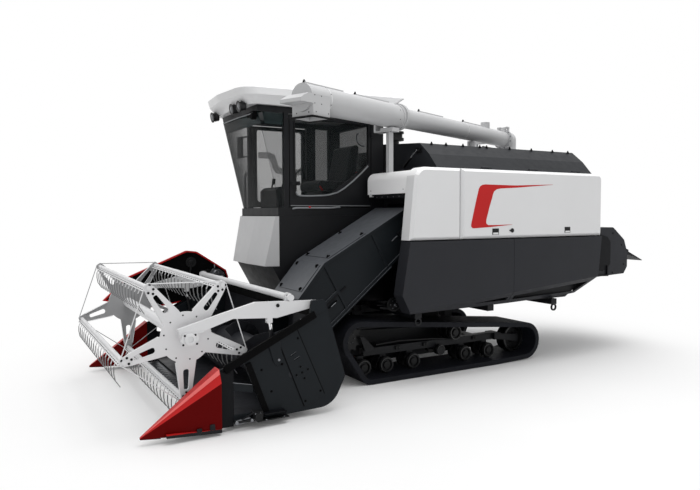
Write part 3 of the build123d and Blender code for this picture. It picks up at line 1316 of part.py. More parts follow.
def work_lights():
    """Round lamps under the front brim of the roof."""
    lamps = []
    roof = cab_roof()
    x = ROOF_FRONT_LOW - 17
    z = CAB_ROOF_LOW + 16
    for y in LAMPS:
        bowl = bar((x + 10, y, z - 22), (x + 74, y, z - 34), 44)
        stem = bar((x + 30, y, z - 30), (x + 30, y, CAB_ROOF_LOW + 58), 10)
        lamps.append(bowl + stem - roof)
    return lamps


def boarding_steps():
    """Platform and two steps outside the right door."""
    out = TANK_RIGHT
    deck = block((-220, 460), (out, CAB_RIGHT - SEAT), (CAB_SILL - 30, CAB_SILL))
    parts = [deck]
    for z in (940, 1260):
        parts.append(block((120, 420), (out, out + 190), (z, z + 30)))
    for x in (100, 420):
        parts.append(block((x, x + 26), (out + 20, out + 60), (900, CAB_SILL - 10)))
        parts.append(block((x, x + 26), (out + 20, CAB_RIGHT - SEAT), (900, 950)))
    return joined(parts)


def air_intake():
    """Pre-cleaner on a short pipe that stands on the top cover behind the cab."""
    x, y = INTAKE
    pipe = bar((x, y, CAP_CROWN[1] - 60), (x, y, INTAKE_BOWL + 10), 42) - top_cover()
    rings = [bar((x, y, INTAKE_BOWL + low), (x, y, INTAKE_BOWL + high), radius)
             for low, high, radius in ((0, 28, 96), (28, 76, 80), (76, 98, 96))]
    return joined([pipe] + rings)


def grain_tank():
    """White tank on the right, its foot drawn in."""
    section = [(TANK_RIGHT, 1240), (TANK_RIGHT, TANK_TOP), (BODY_RIGHT - SEAT, TANK_TOP),
               (BODY_RIGHT - SEAT, TANK_LOW), (TANK_RIGHT + 60, TANK_LOW)]
    return slab_x(section, TANK_REAR, TANK_FRONT)


def right_side_panel():
    """Dark panel under the tank and behind the cab base."""
    top = TANK_LOW - SEAT
    outline = [(TANK_FRONT, top), (TANK_FRONT, RAIL_HIGH), (BODY_SLOPE_X, RAIL_HIGH),
               (TANK_REAR, BODY_REAR_LOW), (TANK_REAR, top)]
    return slab_y(outline, TANK_RIGHT + 60, BODY_RIGHT - SEAT)


def unloading_riser():
    """Upright auger tube behind the tank, with its lower elbow and straps."""
    x, y = RISER_X, RISER_Y
    tube = bar((x, y, RISER_LOW), (x, y, RISER_TOP), RISER_R)
    foot = bar((x, y, RISER_LOW + RISER_R), (TANK_REAR - SEAT, y, RISER_LOW + RISER_R), RISER_R - 10)
    ring = bar((x, y, RISER_TOP - FLANGE_THICK), (x, y, RISER_TOP), RISER_R + FLANGE_OVER)
    straps = [block((x, TANK_REAR - SEAT), (y - 40, y + 40), (z, z + 60)) for z in (1600, 2150)]
    return joined([tube, foot, ring] + straps)


def auger_elbow():
    """Turning elbow from the riser to the tube."""
    base = RISER_TOP + SEAT
    end = TUBE_START - MOVE_GAP / 2
    tube = bar((0, 0, base), (0, 0, TUBE_Z), RISER_R)
    ball = Pos(0, 0, TUBE_Z) * Sphere(RISER_R)
    arm = bar((0, 0, TUBE_Z), (end, 0, TUBE_Z), RISER_R)
    low_ring = bar((0, 0, base), (0, 0, base + FLANGE_THICK), RISER_R + FLANGE_OVER)
    ring = bar((end - FLANGE_THICK, 0, TUBE_Z), (end, 0, TUBE_Z), RISER_R + FLANGE_OVER)
    hinge = TUBE_Z + TUBE_HINGE_RISE
    ears = [block((TUBE_START - 40, end), (y, y + 16), (TUBE_Z + RISER_R - 30, hinge)) for y in (-74, 58)]
    pin = bar((TUBE_START, -80, hinge), (TUBE_START, 80, hinge), 10)
    ear_tips = [block((TUBE_START - 40, TUBE_START + 12), (y, y + 16), (hinge - 12, hinge + 12))
                for y in (-74, 58)]
    foot_x, foot_z = AUGER_FOOT
    foot_pin = bar((foot_x, -60, foot_z), (foot_x, AUGER_SIDE - EYE_WIDE / 2 - 4, foot_z), EYE_PIN_R)
    return turned(joined([tube, ball, arm, low_ring, ring, pin, foot_pin] + ears + ear_tips), TUBE_TURN)


def tube_strip(low, high, radius):
    """Raised strip along the top of the unloading tube."""
    return block((low, high), (-STRIP_HALF, STRIP_HALF), (TUBE_Z + radius - 6,
                                                          TUBE_Z + radius + STRIP_HIGH))


def tube_strap():
    """Slanting strap round the front tube just ahead of the joint."""
    at, half, lean, proud = TUBE_STRAP
    u, w = half * cos(radians(lean)), half * sin(radians(lean))
    disc = bar((at - u, 0, TUBE_Z + w), (at + u, 0, TUBE_Z - w), 2 * TUBE_FRONT_R)
    return disc & bar((at - 120, 0, TUBE_Z), (at + 120, 0, TUBE_Z), TUBE_FRONT_R + proud)


def tube_back():
    """Rear tube with its flange, hinge leaves, capped stub and the ears for the lift cylinder."""
    hinge = TUBE_Z + TUBE_HINGE_RISE
    start = TUBE_START + MOVE_GAP / 2
    rear = bar((start, 0, TUBE_Z), (TUBE_JOINT - SEAT, 0, TUBE_Z), TUBE_REAR_R)
    ring = bar((start, 0, TUBE_Z), (start + FLANGE_THICK, 0, TUBE_Z), RISER_R + FLANGE_OVER)
    leaf = [block((start, TUBE_START + 60), (y, y + 16), (TUBE_Z + TUBE_REAR_R - 16, hinge))
            for y in (-50, 34)]
    eyes = [bar((TUBE_START, y, hinge), (TUBE_START, y + 16, hinge), 16) for y in (-50, 34)]
    holes = bar((TUBE_START, -60, hinge), (TUBE_START, 60, hinge), 10 + PIN_PLAY)
    eye_x, eye_z = AUGER_EYE
    ear_in = AUGER_SIZES[3] / 2 + 1
    lug = block((eye_x - 20, eye_x + 20), (AUGER_SIDE - ear_in - 8, -60), (eye_z + 30, eye_z + 70))
    ears = [block((eye_x - 20, eye_x + 20), (y, y + 8), (eye_z - 16, eye_z + 32))
            for y in (AUGER_SIDE - ear_in - 8, AUGER_SIDE + ear_in)]
    at, radius, high = TUBE_STUB
    stub = bar((at, 0, TUBE_Z), (at, 0, TUBE_Z + TUBE_REAR_R + high), radius)
    strips = [tube_strip(low, high, TUBE_REAR_R) for low, high in TUBE_REAR_STRIPS]
    return joined([rear, ring, lug, stub] + ears + leaf + eyes + strips) - holes


def tube_head(seam):
    """End of the front tube with the spout box, its lip and its slanting visor."""
    box_end = TUBE_END - OUTLET_BACK
    end = bar((seam, 0, TUBE_Z), (TUBE_END, 0, TUBE_Z), TUBE_FRONT_R)
    half = TUBE_FRONT_R
    spout = block((box_end - OUTLET_LONG, box_end), (-half, half), (OUTLET_LOW, TUBE_Z + 20))
    mid = box_end - OUTLET_LONG / 2
    lip = block((mid - OUTLET_PLATE, mid + OUTLET_PLATE), (-OUTLET_PLATE, OUTLET_PLATE),
                (OUTLET_LOW - 8, OUTLET_LOW))
    visor = slab_y([(box_end - 20, TUBE_Z + 20), (box_end - 20, TUBE_Z - 60), (box_end + 150, TUBE_Z - 60),
                    (box_end + 150, TUBE_Z - 30), (box_end + 60, TUBE_Z + 20)], -half, half)
    hole = block((box_end - OUTLET_LONG + 14, box_end - 14), (-half + 14, half - 14),
                 (OUTLET_LOW - 9, TUBE_Z - 20))
    head = joined([end, spout, lip, visor, tube_strip(seam, TUBE_FRONT_STRIPS[1][1], TUBE_FRONT_R)]) - hole
    for sx in (mid - OUTLET_HOLE, mid + OUTLET_HOLE):
        for sy in (-OUTLET_HOLE, OUTLET_HOLE):
            head = head - bar((sx, sy, OUTLET_LOW - 10), (sx, sy, OUTLET_LOW + 2), OUTLET_HOLE_R)
    return head


def auger_tube():
    """Unloading tube in two diameters with the spout box under its end."""
    collar = bar((TUBE_JOINT - 40, 0, TUBE_Z), (TUBE_JOINT - SEAT, 0, TUBE_Z), TUBE_FRONT_R + 16,
                 TUBE_REAR_R + SEAT)
    seam = TUBE_END - OUTLET_BACK - OUTLET_LONG - 20
    front = bar((TUBE_JOINT, 0, TUBE_Z), (seam - SEAT, 0, TUBE_Z), TUBE_FRONT_R)
    (low, high), (seam_low, _) = TUBE_FRONT_STRIPS
    front = joined([front, tube_strip(low, high, TUBE_FRONT_R),
                    tube_strip(seam_low, seam - SEAT, TUBE_FRONT_R), tube_strap()])
    return [turned(piece, TUBE_TURN) for piece in (tube_back(), collar, front, tube_head(seam))]


def auger_cylinder(which):
    """Cylinder beside the tube that raises it."""
    return turned(cylinder(AUGER_FOOT, AUGER_EYE, AUGER_SIDE, AUGER_SIZES)[which], TUBE_TURN)


def auger_cradle():
    """Post on the feeder hood with the open saddle that carries the stowed tube."""
    along = (CRADLE_X - RISER_X) / cos(radians(TUBE_TURN))
    x, y = CRADLE_X, RISER_Y + along * sin(radians(TUBE_TURN))
    top = TUBE_Z - TUBE_FRONT_R - MOVE_GAP
    half = CRADLE_POST
    post = block((x - half, x + half), (y - half, y + half), (HOOD_HIGH - 60, top - 30)) - feeder_hood()
    saddle = block((-60, 60), (-75, 75), (top - 40, top))
    stop = block((-60, 60), (-TUBE_FRONT_R - 34, -TUBE_FRONT_R - 12), (top - 40, TUBE_Z - 40))
    reach = block((-60, 60), (-TUBE_FRONT_R - 34, 75), (top - 40, top - 26))
    head = Pos(x, y, 0) * Rot(0, 0, TUBE_TURN) * joined([saddle, stop, reach])
    return post + head


def mid_rest():
    """Short round rest on the top cover under the rear tube."""
    along = (REST_X - RISER_X) / cos(radians(TUBE_TURN))
    x, y = REST_X, RISER_Y + along * sin(radians(TUBE_TURN))
    return bar((x, y, CAP_CROWN[1] - 60), (x, y, TUBE_Z - TUBE_REAR_R - MOVE_GAP), 50) - top_cover()


def straw_chopper():
    brow = CHOPPER_REAR + CHOPPER_BACK
    back = [(CHOPPER_REAR + CHOPPER_CREST, CHOPPER_TOP, CHOPPER_BACK),
            (brow, CHOPPER_TOP - CHOPPER_BACK_DROP, CHOPPER_BACK),
            (CHOPPER_REAR, CHOPPER_FACE[1]), (CHOPPER_REAR, CHOPPER_FACE[0]), (brow, CHOPPER_LOW + 20)]
    main = slab_y([(BODY_REAR - SEAT, CHOPPER_TOP)] + back + [(BODY_REAR - SEAT, CHOPPER_LOW)],
                  BODY_RIGHT, BODY_LEFT)
    start = COVER_REAR - MOVE_GAP
    side = slab_y([(start, CHOPPER_TOP)] + back + [(start, CHOPPER_LOW)], BODY_LEFT - 2, CHOPPER_LEFT)
    hx, hz = TAIL_HINGE
    z = hz - TAIL_THICK / 2
    ears = [slab_y([(CHOPPER_REAR + 2, z + 24), (hx - 10, z + 12), (hx - 10, z - 12),
                    (CHOPPER_REAR + 2, z - 24)],
                   y, y + TAIL_EAR) for y in (BODY_RIGHT, CHOPPER_LEFT - TAIL_EAR)]
    return joined([main, side] + ears) - disc_y(hx, z, BODY_RIGHT, CHOPPER_LEFT, TAIL_PIN_R + PIN_PLAY)


def tail_deflector():
    (hx, hz), (tx, tz) = TAIL_HINGE, TAIL_TIP
    drop = TAIL_THICK
    right = BODY_RIGHT + TAIL_EAR + MOVE_GAP
    left = CHOPPER_LEFT - TAIL_EAR - MOVE_GAP
    plate = slab_y([(hx, hz), (tx, tz), (tx, tz - drop), (hx, hz - drop)], right, left)
    pin = disc_y(hx, hz - drop / 2, BODY_RIGHT - 2, CHOPPER_LEFT + 2, TAIL_PIN_R)
    ribs = [slab_y([(hx, hz - drop + 1), (tx + 60, tz + 18), (hx - 20, hz - 50)], y, y + 6)
            for y in (right + 4, left - 10)]
    return joined([plate, pin] + ribs)


def left_side(shape):
    return both_sides(shape)[0]


def right_side(shape):
    return both_sides(shape)[1]


NODES = {
    "chassis_frame": chassis_frame,
    "left_track": lambda: left_side(track()),
    "right_track": lambda: right_side(track()),
    "track_frames": lambda: both_sides(track_frame()),
    "track_rollers": track_rollers,
    "transmission": transmission,
    "engine_block": engine_block,
    "thresher_body": thresher_body,
    "grain_tank": grain_tank,
    "top_cover": top_cover,
    "front_side_cover": front_side_cover,
    "side_cover": side_cover,
    "lower_side_panels": lower_side_panels,
    "right_side_panel": right_side_panel,
    "feeder_hood": feeder_hood,
    "straw_chopper": straw_chopper,
    "tail_deflector": tail_deflector,
    "feeder_house": feeder_house,
    "header_frame": header_frame,
    "header_end_plates": header_end_plates,
    "cutter_bar": cutter_bar,
    "knife_drive": knife_drive,
    "dividers": dividers,
    "reel_shield": reel_shield,
    "header_auger": header_auger,
    "reel_arms": reel_arms,
    "reel_rotor": reel_rotor,
    "lift_cylinder_barrel": lambda: cylinder(LIFT_FOOT, LIFT_EYE, LIFT_Y, LIFT_SIZES)[0],
    "lift_cylinder_rod": lambda: cylinder(LIFT_FOOT, LIFT_EYE, LIFT_Y, LIFT_SIZES)[1],
    "reel_cylinder_barrels": lambda: reel_cylinder(0),
    "reel_cylinder_rods": lambda: reel_cylinder(1),
    "cab_base": cab_base,
    "radiator_screen": radiator_screen,
    "cab_nose": cab_nose,
    "cab_frame": cab_frame,
    "cab_roof": cab_roof,
    "cab_glass": cab_glass,
    "left_door": left_door,
    "left_door_glass": left_door_glass,
    "right_door": right_door,
    "right_door_glass": right_door_glass,
    "seat_base": seat_base,
    "seat_pad": seat_pad,
    "cab_console": cab_console,
    "cab_mirror": cab_mirror,
    "work_lights": work_lights,
    "boarding_steps": boarding_steps,
    "air_intake": air_intake,
    "unloading_riser": unloading_riser,
    "auger_elbow": auger_elbow,
    "auger_tube": auger_tube,
    "auger_cylinder_barrel": lambda: auger_cylinder(0),
    "auger_cylinder_rod": lambda: auger_cylinder(1),
    "auger_cradle": auger_cradle,
    "mid_rest": mid_rest,
}
for number in range(REEL_ARMS):
    NODES[f"tine_bar_{number + 1}"] = lambda i=number: tine_bar(i)


def solids_of(made):
    """Flat list of the solids in a shape or in a nested list of shapes."""
    if isinstance(made, (list, tuple)):
        return [solid for item in made for solid in solids_of(item)]
    return list(made.solids())


def main():
    made = {name: solids_of(build()) for name, build in NODES.items()}
    box = Compound([solid for solids in made.values() for solid in solids]).bounding_box()
    origin = Location((-round((box.min.X + box.max.X) / 2), -round((box.min.Y + box.max.Y) / 2), 0))
    os.makedirs("parts", exist_ok=True)
    for name, solids in made.items():
        export_step(Compound([solid.moved(origin) for solid in solids]), f"parts/{name}.step")
    print("origin moved by", tuple(origin.position), "size", tuple(box.size))


if __name__ == "__main__":
    main()
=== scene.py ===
"""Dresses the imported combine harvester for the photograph's view: finishes, trim, soft parts, light."""

import json
from math import cos, hypot, pi, radians, sin, tan

import bmesh
import bpy
from mathutils import Matrix, Vector
from mathutils.bvhtree import BVHTree


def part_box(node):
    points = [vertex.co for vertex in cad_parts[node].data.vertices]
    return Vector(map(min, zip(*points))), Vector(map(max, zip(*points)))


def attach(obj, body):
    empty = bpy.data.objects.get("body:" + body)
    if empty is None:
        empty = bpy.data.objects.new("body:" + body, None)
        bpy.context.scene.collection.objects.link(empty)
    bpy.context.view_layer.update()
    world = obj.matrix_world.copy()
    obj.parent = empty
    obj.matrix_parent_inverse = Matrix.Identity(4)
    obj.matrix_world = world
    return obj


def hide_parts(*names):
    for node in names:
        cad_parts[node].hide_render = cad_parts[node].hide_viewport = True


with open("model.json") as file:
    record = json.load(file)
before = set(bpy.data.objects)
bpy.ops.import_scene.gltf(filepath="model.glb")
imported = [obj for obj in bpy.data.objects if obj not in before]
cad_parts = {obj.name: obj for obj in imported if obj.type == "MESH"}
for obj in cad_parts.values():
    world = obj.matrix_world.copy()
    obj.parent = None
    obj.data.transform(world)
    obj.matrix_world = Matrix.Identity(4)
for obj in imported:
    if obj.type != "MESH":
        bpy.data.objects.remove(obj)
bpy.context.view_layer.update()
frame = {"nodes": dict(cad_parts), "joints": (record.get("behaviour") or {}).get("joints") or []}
nodes = frame["nodes"]

# The layout frame of the drawings: X from the front of the tracks' contact, Y from between the tracks.
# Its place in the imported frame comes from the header's lift hinge.
LIFT_HINGE = Vector((-0.440, 0.510, 1.432))
lift_joint = next(joint for joint in frame["joints"] if joint["name"] == "header_lift")
SHIFT = Vector(lift_joint["pos_m"]) - LIFT_HINGE


def at(x, y, z):
    """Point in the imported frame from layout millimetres."""
    return Vector((x, y, z)) / 1000 + SHIFT


AHEAD, BACK = (1, 0, 0), (-1, 0, 0)
LEFT, RIGHT = (0, 1, 0), (0, -1, 0)
UP, DOWN = (0, 0, 1), (0, 0, -1)


def around(count, start=0.0):
    """Cosine and sine of a full turn's even steps, from a share of a step on."""
    return [(cos(2 * pi * (k + start) / count), sin(2 * pi * (k + start) / count)) for k in range(count)]


# Camera of the photograph, in layout metres and degrees
CAMERA_PLACE = Vector((3.067, 5.859, 1.620))
CAMERA_HEADING = 239.95
CAMERA_DROP = 2.857
CAMERA_ROLL = 0.172
FOCAL_PIXELS = 632.6
IMAGE_WIDTH = 700
SENSOR = 36.0


def add_object(name, data):
    thing = bpy.data.objects.new(name, data)
    bpy.context.collection.objects.link(thing)
    return thing


def add_camera():
    data = bpy.data.cameras.new("camera")
    data.sensor_width = SENSOR
    data.lens = FOCAL_PIXELS * SENSOR / IMAGE_WIDTH
    data.clip_end = 200
    camera = add_object("camera", data)
    turn = Matrix.Rotation(radians(CAMERA_HEADING - 90), 4, "Z")
    tilt = Matrix.Rotation(radians(90 - CAMERA_DROP), 4, "X")
    roll = Matrix.Rotation(radians(-CAMERA_ROLL), 4, "Z")
    camera.matrix_world = Matrix.Translation(CAMERA_PLACE + SHIFT) @ turn @ tilt @ roll
    bpy.context.scene.camera = camera


class Nodes:
    """Short calls for building a material's nodes."""

    def __init__(self, name):
        self.material = bpy.data.materials.new(name)
        self.material.use_nodes = True
        self.tree = self.material.node_tree
        self.shader = self.tree.nodes["Principled BSDF"]
        self.place = self.add("ShaderNodeTexCoord").outputs["Object"]

    def add(self, kind, **values):
        node = self.tree.nodes.new(kind)
        for key, value in values.items():
            setattr(node, key, value)
        return node

    def link(self, source, target):
        self.tree.links.new(source, target)

    def noise(self, scale, detail=3.0, rough=0.55, stretch=None):
        node = self.add("ShaderNodeTexNoise")
        node.inputs["Scale"].default_value = scale
        node.inputs["Detail"].default_value = detail
        node.inputs["Roughness"].default_value = rough
        vector = self.place
        if stretch:
            mapping = self.add("ShaderNodeMapping")
            mapping.inputs["Scale"].default_value = stretch
            self.link(vector, mapping.inputs["Vector"])
            vector = mapping.outputs["Vector"]
        self.link(vector, node.inputs["Vector"])
        return node.outputs["Fac"]

    def color(self, source, low, high, start=0.3, end=0.7):
        """Base colour that turns from one tone to another as the source rises from start to end."""
        node = self.add("ShaderNodeValToRGB")
        for element, position, tone in zip(node.color_ramp.elements, (start, end), (low, high)):
            element.position = position
            element.color = (*tone, 1)
        self.link(source, node.inputs["Fac"])
        self.link(node.outputs["Color"], self.shader.inputs["Base Color"])

    def rough(self, source, low, high):
        """Roughness from the middle of the source's range."""
        node = self.add("ShaderNodeMapRange")
        for key, value in (("From Min", 0.3), ("From Max", 0.7), ("To Min", low), ("To Max", high)):
            node.inputs[key].default_value = value
        self.link(source, node.inputs["Value"])
        self.link(node.outputs["Result"], self.shader.inputs["Roughness"])

    def bump(self, source, strength, distance, rounding=0.0):
        node = self.add("ShaderNodeBump")
        node.inputs["Strength"].default_value = strength
        node.inputs["Distance"].default_value = distance
        self.link(source, node.inputs["Height"])
        if rounding:
            bevel = self.add("ShaderNodeBevel", samples=3)
            bevel.inputs["Radius"].default_value = rounding
            self.link(bevel.outputs["Normal"], node.inputs["Normal"])
        self.link(node.outputs["Normal"], self.shader.inputs["Normal"])

    def set(self, **values):
        for key, value in values.items():
            self.shader.inputs[key.replace("_", " ")].default_value = value


def tinted(color, factor):
    return tuple(min(1.0, channel * factor) for channel in color)


def paint(name, color, rough=0.35, coat=0.0, vary=0.06, grain=900, grain_depth=0.00004, gloss=0.5):
    """Sprayed paint: slow tone drift, a fine orange-peel skin and softened edges."""
    n = Nodes(name)
    n.color(n.noise(2.2, 4), tinted(color, 1 - vary), tinted(color, 1 + vary))
    n.rough(n.noise(14), rough - 0.05, rough + 0.06)
    n.set(Coat_Weight=coat, Coat_Roughness=0.08, Specular_IOR_Level=gloss)
    n.bump(n.noise(grain, 2), 0.35, grain_depth, 0.003)
    return n.material


def metal(name, color, rough, streak=(1, 1, 1), vary=0.12, grain=260, depth=0.00005):
    """Bare metal with machining streaks along one direction."""
    n = Nodes(name)
    lines = n.noise(grain, stretch=streak)
    n.color(lines, tinted(color, 1 - vary), tinted(color, 1 + vary))
    n.rough(lines, rough - 0.06, rough + 0.08)
    n.set(Metallic=1.0)
    n.bump(lines, 0.25, depth, 0.0015)
    return n.material


def rubber(name, color, rough=0.62):
    """Moulded rubber, a little dusty, with a fine skin."""
    n = Nodes(name)
    n.color(n.noise(5, 5, 0.65), color, tinted(color, 1.7), 0.35, 0.75)
    n.rough(n.noise(40, 4), rough - 0.08, rough + 0.1)
    n.set(Specular_IOR_Level=0.16)
    n.bump(n.noise(520), 0.5, 0.0002, 0.006)
    return n.material


def plastic(name, color, rough=0.5):
    """Moulded plastic with a leather-like grain."""
    n = Nodes(name)
    cells = n.add("ShaderNodeTexVoronoi")
    cells.inputs["Scale"].default_value = 1400
    n.link(n.place, cells.inputs["Vector"])
    n.color(n.noise(6), tinted(color, 0.9), tinted(color, 1.12))
    n.rough(n.noise(30), rough - 0.06, rough + 0.08)
    n.bump(cells.outputs["Distance"], 0.3, 0.0002, 0.002)
    return n.material


def pane(name, color):
    """Glass tint and a faint gloss, with the roughness left to the caller."""
    n = Nodes(name)
    n.color(n.noise(3, 4), color, tinted(color, 1.1))
    n.set(IOR=1.5, Specular_IOR_Level=0.06)
    n.material.surface_render_method = "BLENDED"
    return n


def glass(name, color, alpha):
    """Tinted pane with faint smears."""
    n = pane(name, color)
    n.rough(n.noise(9, 5), 0.03, 0.06)
    n.set(Alpha=alpha)
    return n.material


def fading_glass(name, color, dark, clear):
    """Pane darkened as painted shade towards one layout y and clearer towards another: each end is (y, alpha).
    """
    n = pane(name, color)
    parts = n.add("ShaderNodeSeparateXYZ")
    fade = n.add("ShaderNodeMapRange")
    n.link(n.place, parts.inputs[0])
    n.link(parts.outputs["Y"], fade.inputs["Value"])
    for end, (y, alpha) in (("Min", dark), ("Max", clear)):
        fade.inputs["From " + end].default_value = at(0, y, 0).y
        fade.inputs["To " + end].default_value = alpha
    n.link(fade.outputs["Result"], n.shader.inputs["Alpha"])
    n.set(Roughness=0.05)
    return n.material


def wave(n, direction, scale):
    node = n.add("ShaderNodeTexWave", bands_direction=direction)
    node.inputs["Scale"].default_value = scale
    n.link(n.place, node.inputs["Vector"])
    return node.outputs["Fac"]


def woven(name, color):
    """Coarse seat cloth: two crossed thread waves."""
    n = Nodes(name)
    both = n.add("ShaderNodeMath", operation="MULTIPLY")
    for i, direction in enumerate("YZ"):
        n.link(wave(n, direction, 260), both.inputs[i])
    n.color(both.outputs[0], tinted(color, 0.7), tinted(color, 1.5), 0.0, 1.0)
    n.set(Roughness=0.9, Sheen_Weight=0.3, Sheen_Roughness=0.5)
    n.bump(both.outputs[0], 0.4, 0.0006)
    return n.material


def lamp_lens(name):
    """Fluted clear lens over its bowl, given as one dark colour whose lighter stripes along the flutes are
    painted glints.
    """
    n = Nodes(name)
    flutes = wave(n, "Y", 40)
    # Lighter stripes along the flutes: painted glints.
    n.color(flutes, (0.012, 0.013, 0.016), (0.16, 0.17, 0.19), 0.0, 1.0)
    n.set(Roughness=0.12, Metallic=0.3, Coat_Weight=0.3)
    n.bump(flutes, 0.6, 0.002)
    return n.material


WHITE = paint("white_paint", (0.71, 0.713, 0.72), 0.34, coat=0.25, vary=0.012, grain=700)
REEL_WHITE = paint("reel_white", (0.70, 0.702, 0.712), 0.4, coat=0.1, vary=0.025)
# Darker copy of the reel's white: painted shade on the far spider's side faces.
PAINTED_SHADE_WHITE = paint("white_painted_shade", (0.34, 0.342, 0.348), 0.42, vary=0.04)
TINE_GREY = paint("tine_grey", (0.20, 0.202, 0.206), 0.4)
CHARCOAL = paint("charcoal_paint", (0.021, 0.022, 0.026), 0.42, grain=1100, gloss=0.16)
COVER_GREY = paint("cover_grey", (0.018, 0.0195, 0.0225), 0.45, grain=1100, gloss=0.14)
# Brighter copy of the white paint: painted light, on the feeder hood and the side covers' upward faces.
PAINTED_LIGHT_WHITE = paint("white_painted_light", (0.9, 0.9, 0.905), 0.34, vary=0.02)
# Darker copy of the white paint: painted shade on the cab's nose, the unloading tube, its riser and its rests.
WHITE_IN_SHADE = paint("tube_white_as_shade", (0.48, 0.483, 0.49), 0.36, vary=0.03)
# Dark grey for the end plates and their panels, and painted shade on the feeder house's sides.
SIDE_GREY = paint("side_grey", (0.0098, 0.0122, 0.0146), 0.45, grain=1100, gloss=0.12)
# Lighter copy of the charcoal: painted light on the feeder house's upward faces.
LIT_DECK_GREY = paint("deck_grey_painted_light", (0.088, 0.094, 0.104), 0.42, vary=0.05, grain=1100, gloss=0.35)
LEDGE_GREY = paint("ledge_grey", (0.0085, 0.0095, 0.011), 0.42, grain=1000, gloss=0.12)
POST_GREY = paint("post_grey", (0.004, 0.0043, 0.0056), 0.45, vary=0.08, grain=1000, gloss=0.12)
DARK = paint("dark_paint", (0.0075, 0.008, 0.0095), 0.45, vary=0.1, grain=1000, gloss=0.2)
BEAM_BLACK = paint("beam_black", (0.0012, 0.0012, 0.0014), 0.7, vary=0.15, grain=500, grain_depth=0.0002,
                   gloss=0.06)
RED = paint("red_paint", (0.50, 0.012, 0.012), 0.36, vary=0.04, gloss=0.2)
# Darker copy of the red: painted shade on the dividers' sides.
SHADED_RED = paint("red_painted_shade", (0.11, 0.0006, 0.0006), 0.4, vary=0.05, gloss=0.05)
# Pale red: a painted highlight along the dividers' outer crests.
RED_HIGHLIGHT = paint("red_painted_highlight", (0.78, 0.12, 0.11), 0.3, coat=0.5, vary=0.04)
STEEL = metal("steel", (0.10, 0.105, 0.115), 0.36, streak=(1, 12, 1))
ZINC = metal("zinc", (0.22, 0.225, 0.24), 0.32, grain=180)
CHROME = metal("chrome", (0.75, 0.76, 0.78), 0.12, vary=0.03, depth=0.00001)
CAST = paint("cast_dark", (0.003, 0.0032, 0.0038), 0.4, vary=0.2, grain=320, grain_depth=0.0003, gloss=0.25)
ROLLER = paint("roller_steel", (0.002, 0.0022, 0.0028), 0.22, vary=0.1, grain=500, grain_depth=0.00005,
               gloss=0.6)
RUBBER = rubber("track_rubber", (0.0042, 0.0048, 0.0072))
# Windscreen glass darkened towards the machine's right side: painted shade.
SHADED_SCREEN_GLASS = fading_glass("screen_glass_painted_shade", (0.012, 0.014, 0.015), (-850, 0.82), (-180, 0.24))
SEAL = rubber("seal_rubber", (0.006, 0.0062, 0.0068), 0.55)
PLASTIC = plastic("black_plastic", (0.0035, 0.0038, 0.0046))
GREY_PLASTIC = plastic("grey_plastic", (0.21, 0.22, 0.23), 0.45)
GLASS = glass("tinted_glass", (0.02, 0.024, 0.025), 0.30)
DARK_GLASS = glass("dark_glass", (0.03, 0.03, 0.03), 0.62)
# Half-clear pale grey sheet: a painted reflection in the right door's glass.
REFLECTION_GLASS = glass("glass_painted_reflection", (0.16, 0.162, 0.165), 0.42)
SUN_BAND = glass("sun_band", (0.05, 0.085, 0.088), 0.75)
CLOTH = woven("seat_cloth", (0.02, 0.0215, 0.024))
LENS = lamp_lens("lamp_lens")

NODE_MATERIALS = {
    WHITE: ("front_side_cover", "side_cover", "cab_roof", "grain_tank"),
    # The feeder hood takes the brighter white as painted light.
    PAINTED_LIGHT_WHITE: ("feeder_hood",),
    # The nose, the tube and its holders take the darker white: painted shade.
    WHITE_IN_SHADE: ("cab_nose", "auger_tube", "auger_elbow", "unloading_riser", "auger_cradle", "mid_rest"),
    COVER_GREY: ("top_cover",),
    REEL_WHITE: ("reel_arms", "reel_rotor", *(f"tine_bar_{i}" for i in range(1, 6))),
    CHARCOAL: ("lower_side_panels", "right_side_panel", "feeder_house", "header_frame",
               "straw_chopper", "header_auger"),
    SIDE_GREY: ("header_end_plates",),
    DARK: ("radiator_screen", "cab_base", "chassis_frame", "track_frames", "thresher_body", "tail_deflector",
           "cab_frame", "left_door", "right_door", "boarding_steps", "lift_cylinder_barrel",
           "reel_cylinder_barrels", "auger_cylinder_barrel"),
    CAST: ("track_rollers", "transmission", "engine_block", "knife_drive"),
    RUBBER: ("left_track", "right_track"),
    # The dividers take the darker red as painted shade.
    SHADED_RED: ("dividers",),
    RED: ("reel_shield",),
    STEEL: ("cutter_bar",),
    CHROME: ("lift_cylinder_rod", "reel_cylinder_rods", "auger_cylinder_rod"),
    GLASS: ("cab_glass", "left_door_glass", "right_door_glass"),
    PLASTIC: ("seat_base", "cab_console", "cab_mirror", "work_lights", "air_intake"),
    CLOTH: ("seat_pad",),
}


def dress_nodes():
    for material, names in NODE_MATERIALS.items():
        for name in names:
            mesh = nodes[name].data
            mesh.materials.clear()
            mesh.materials.append(material)


EDGE_ANGLE = 35


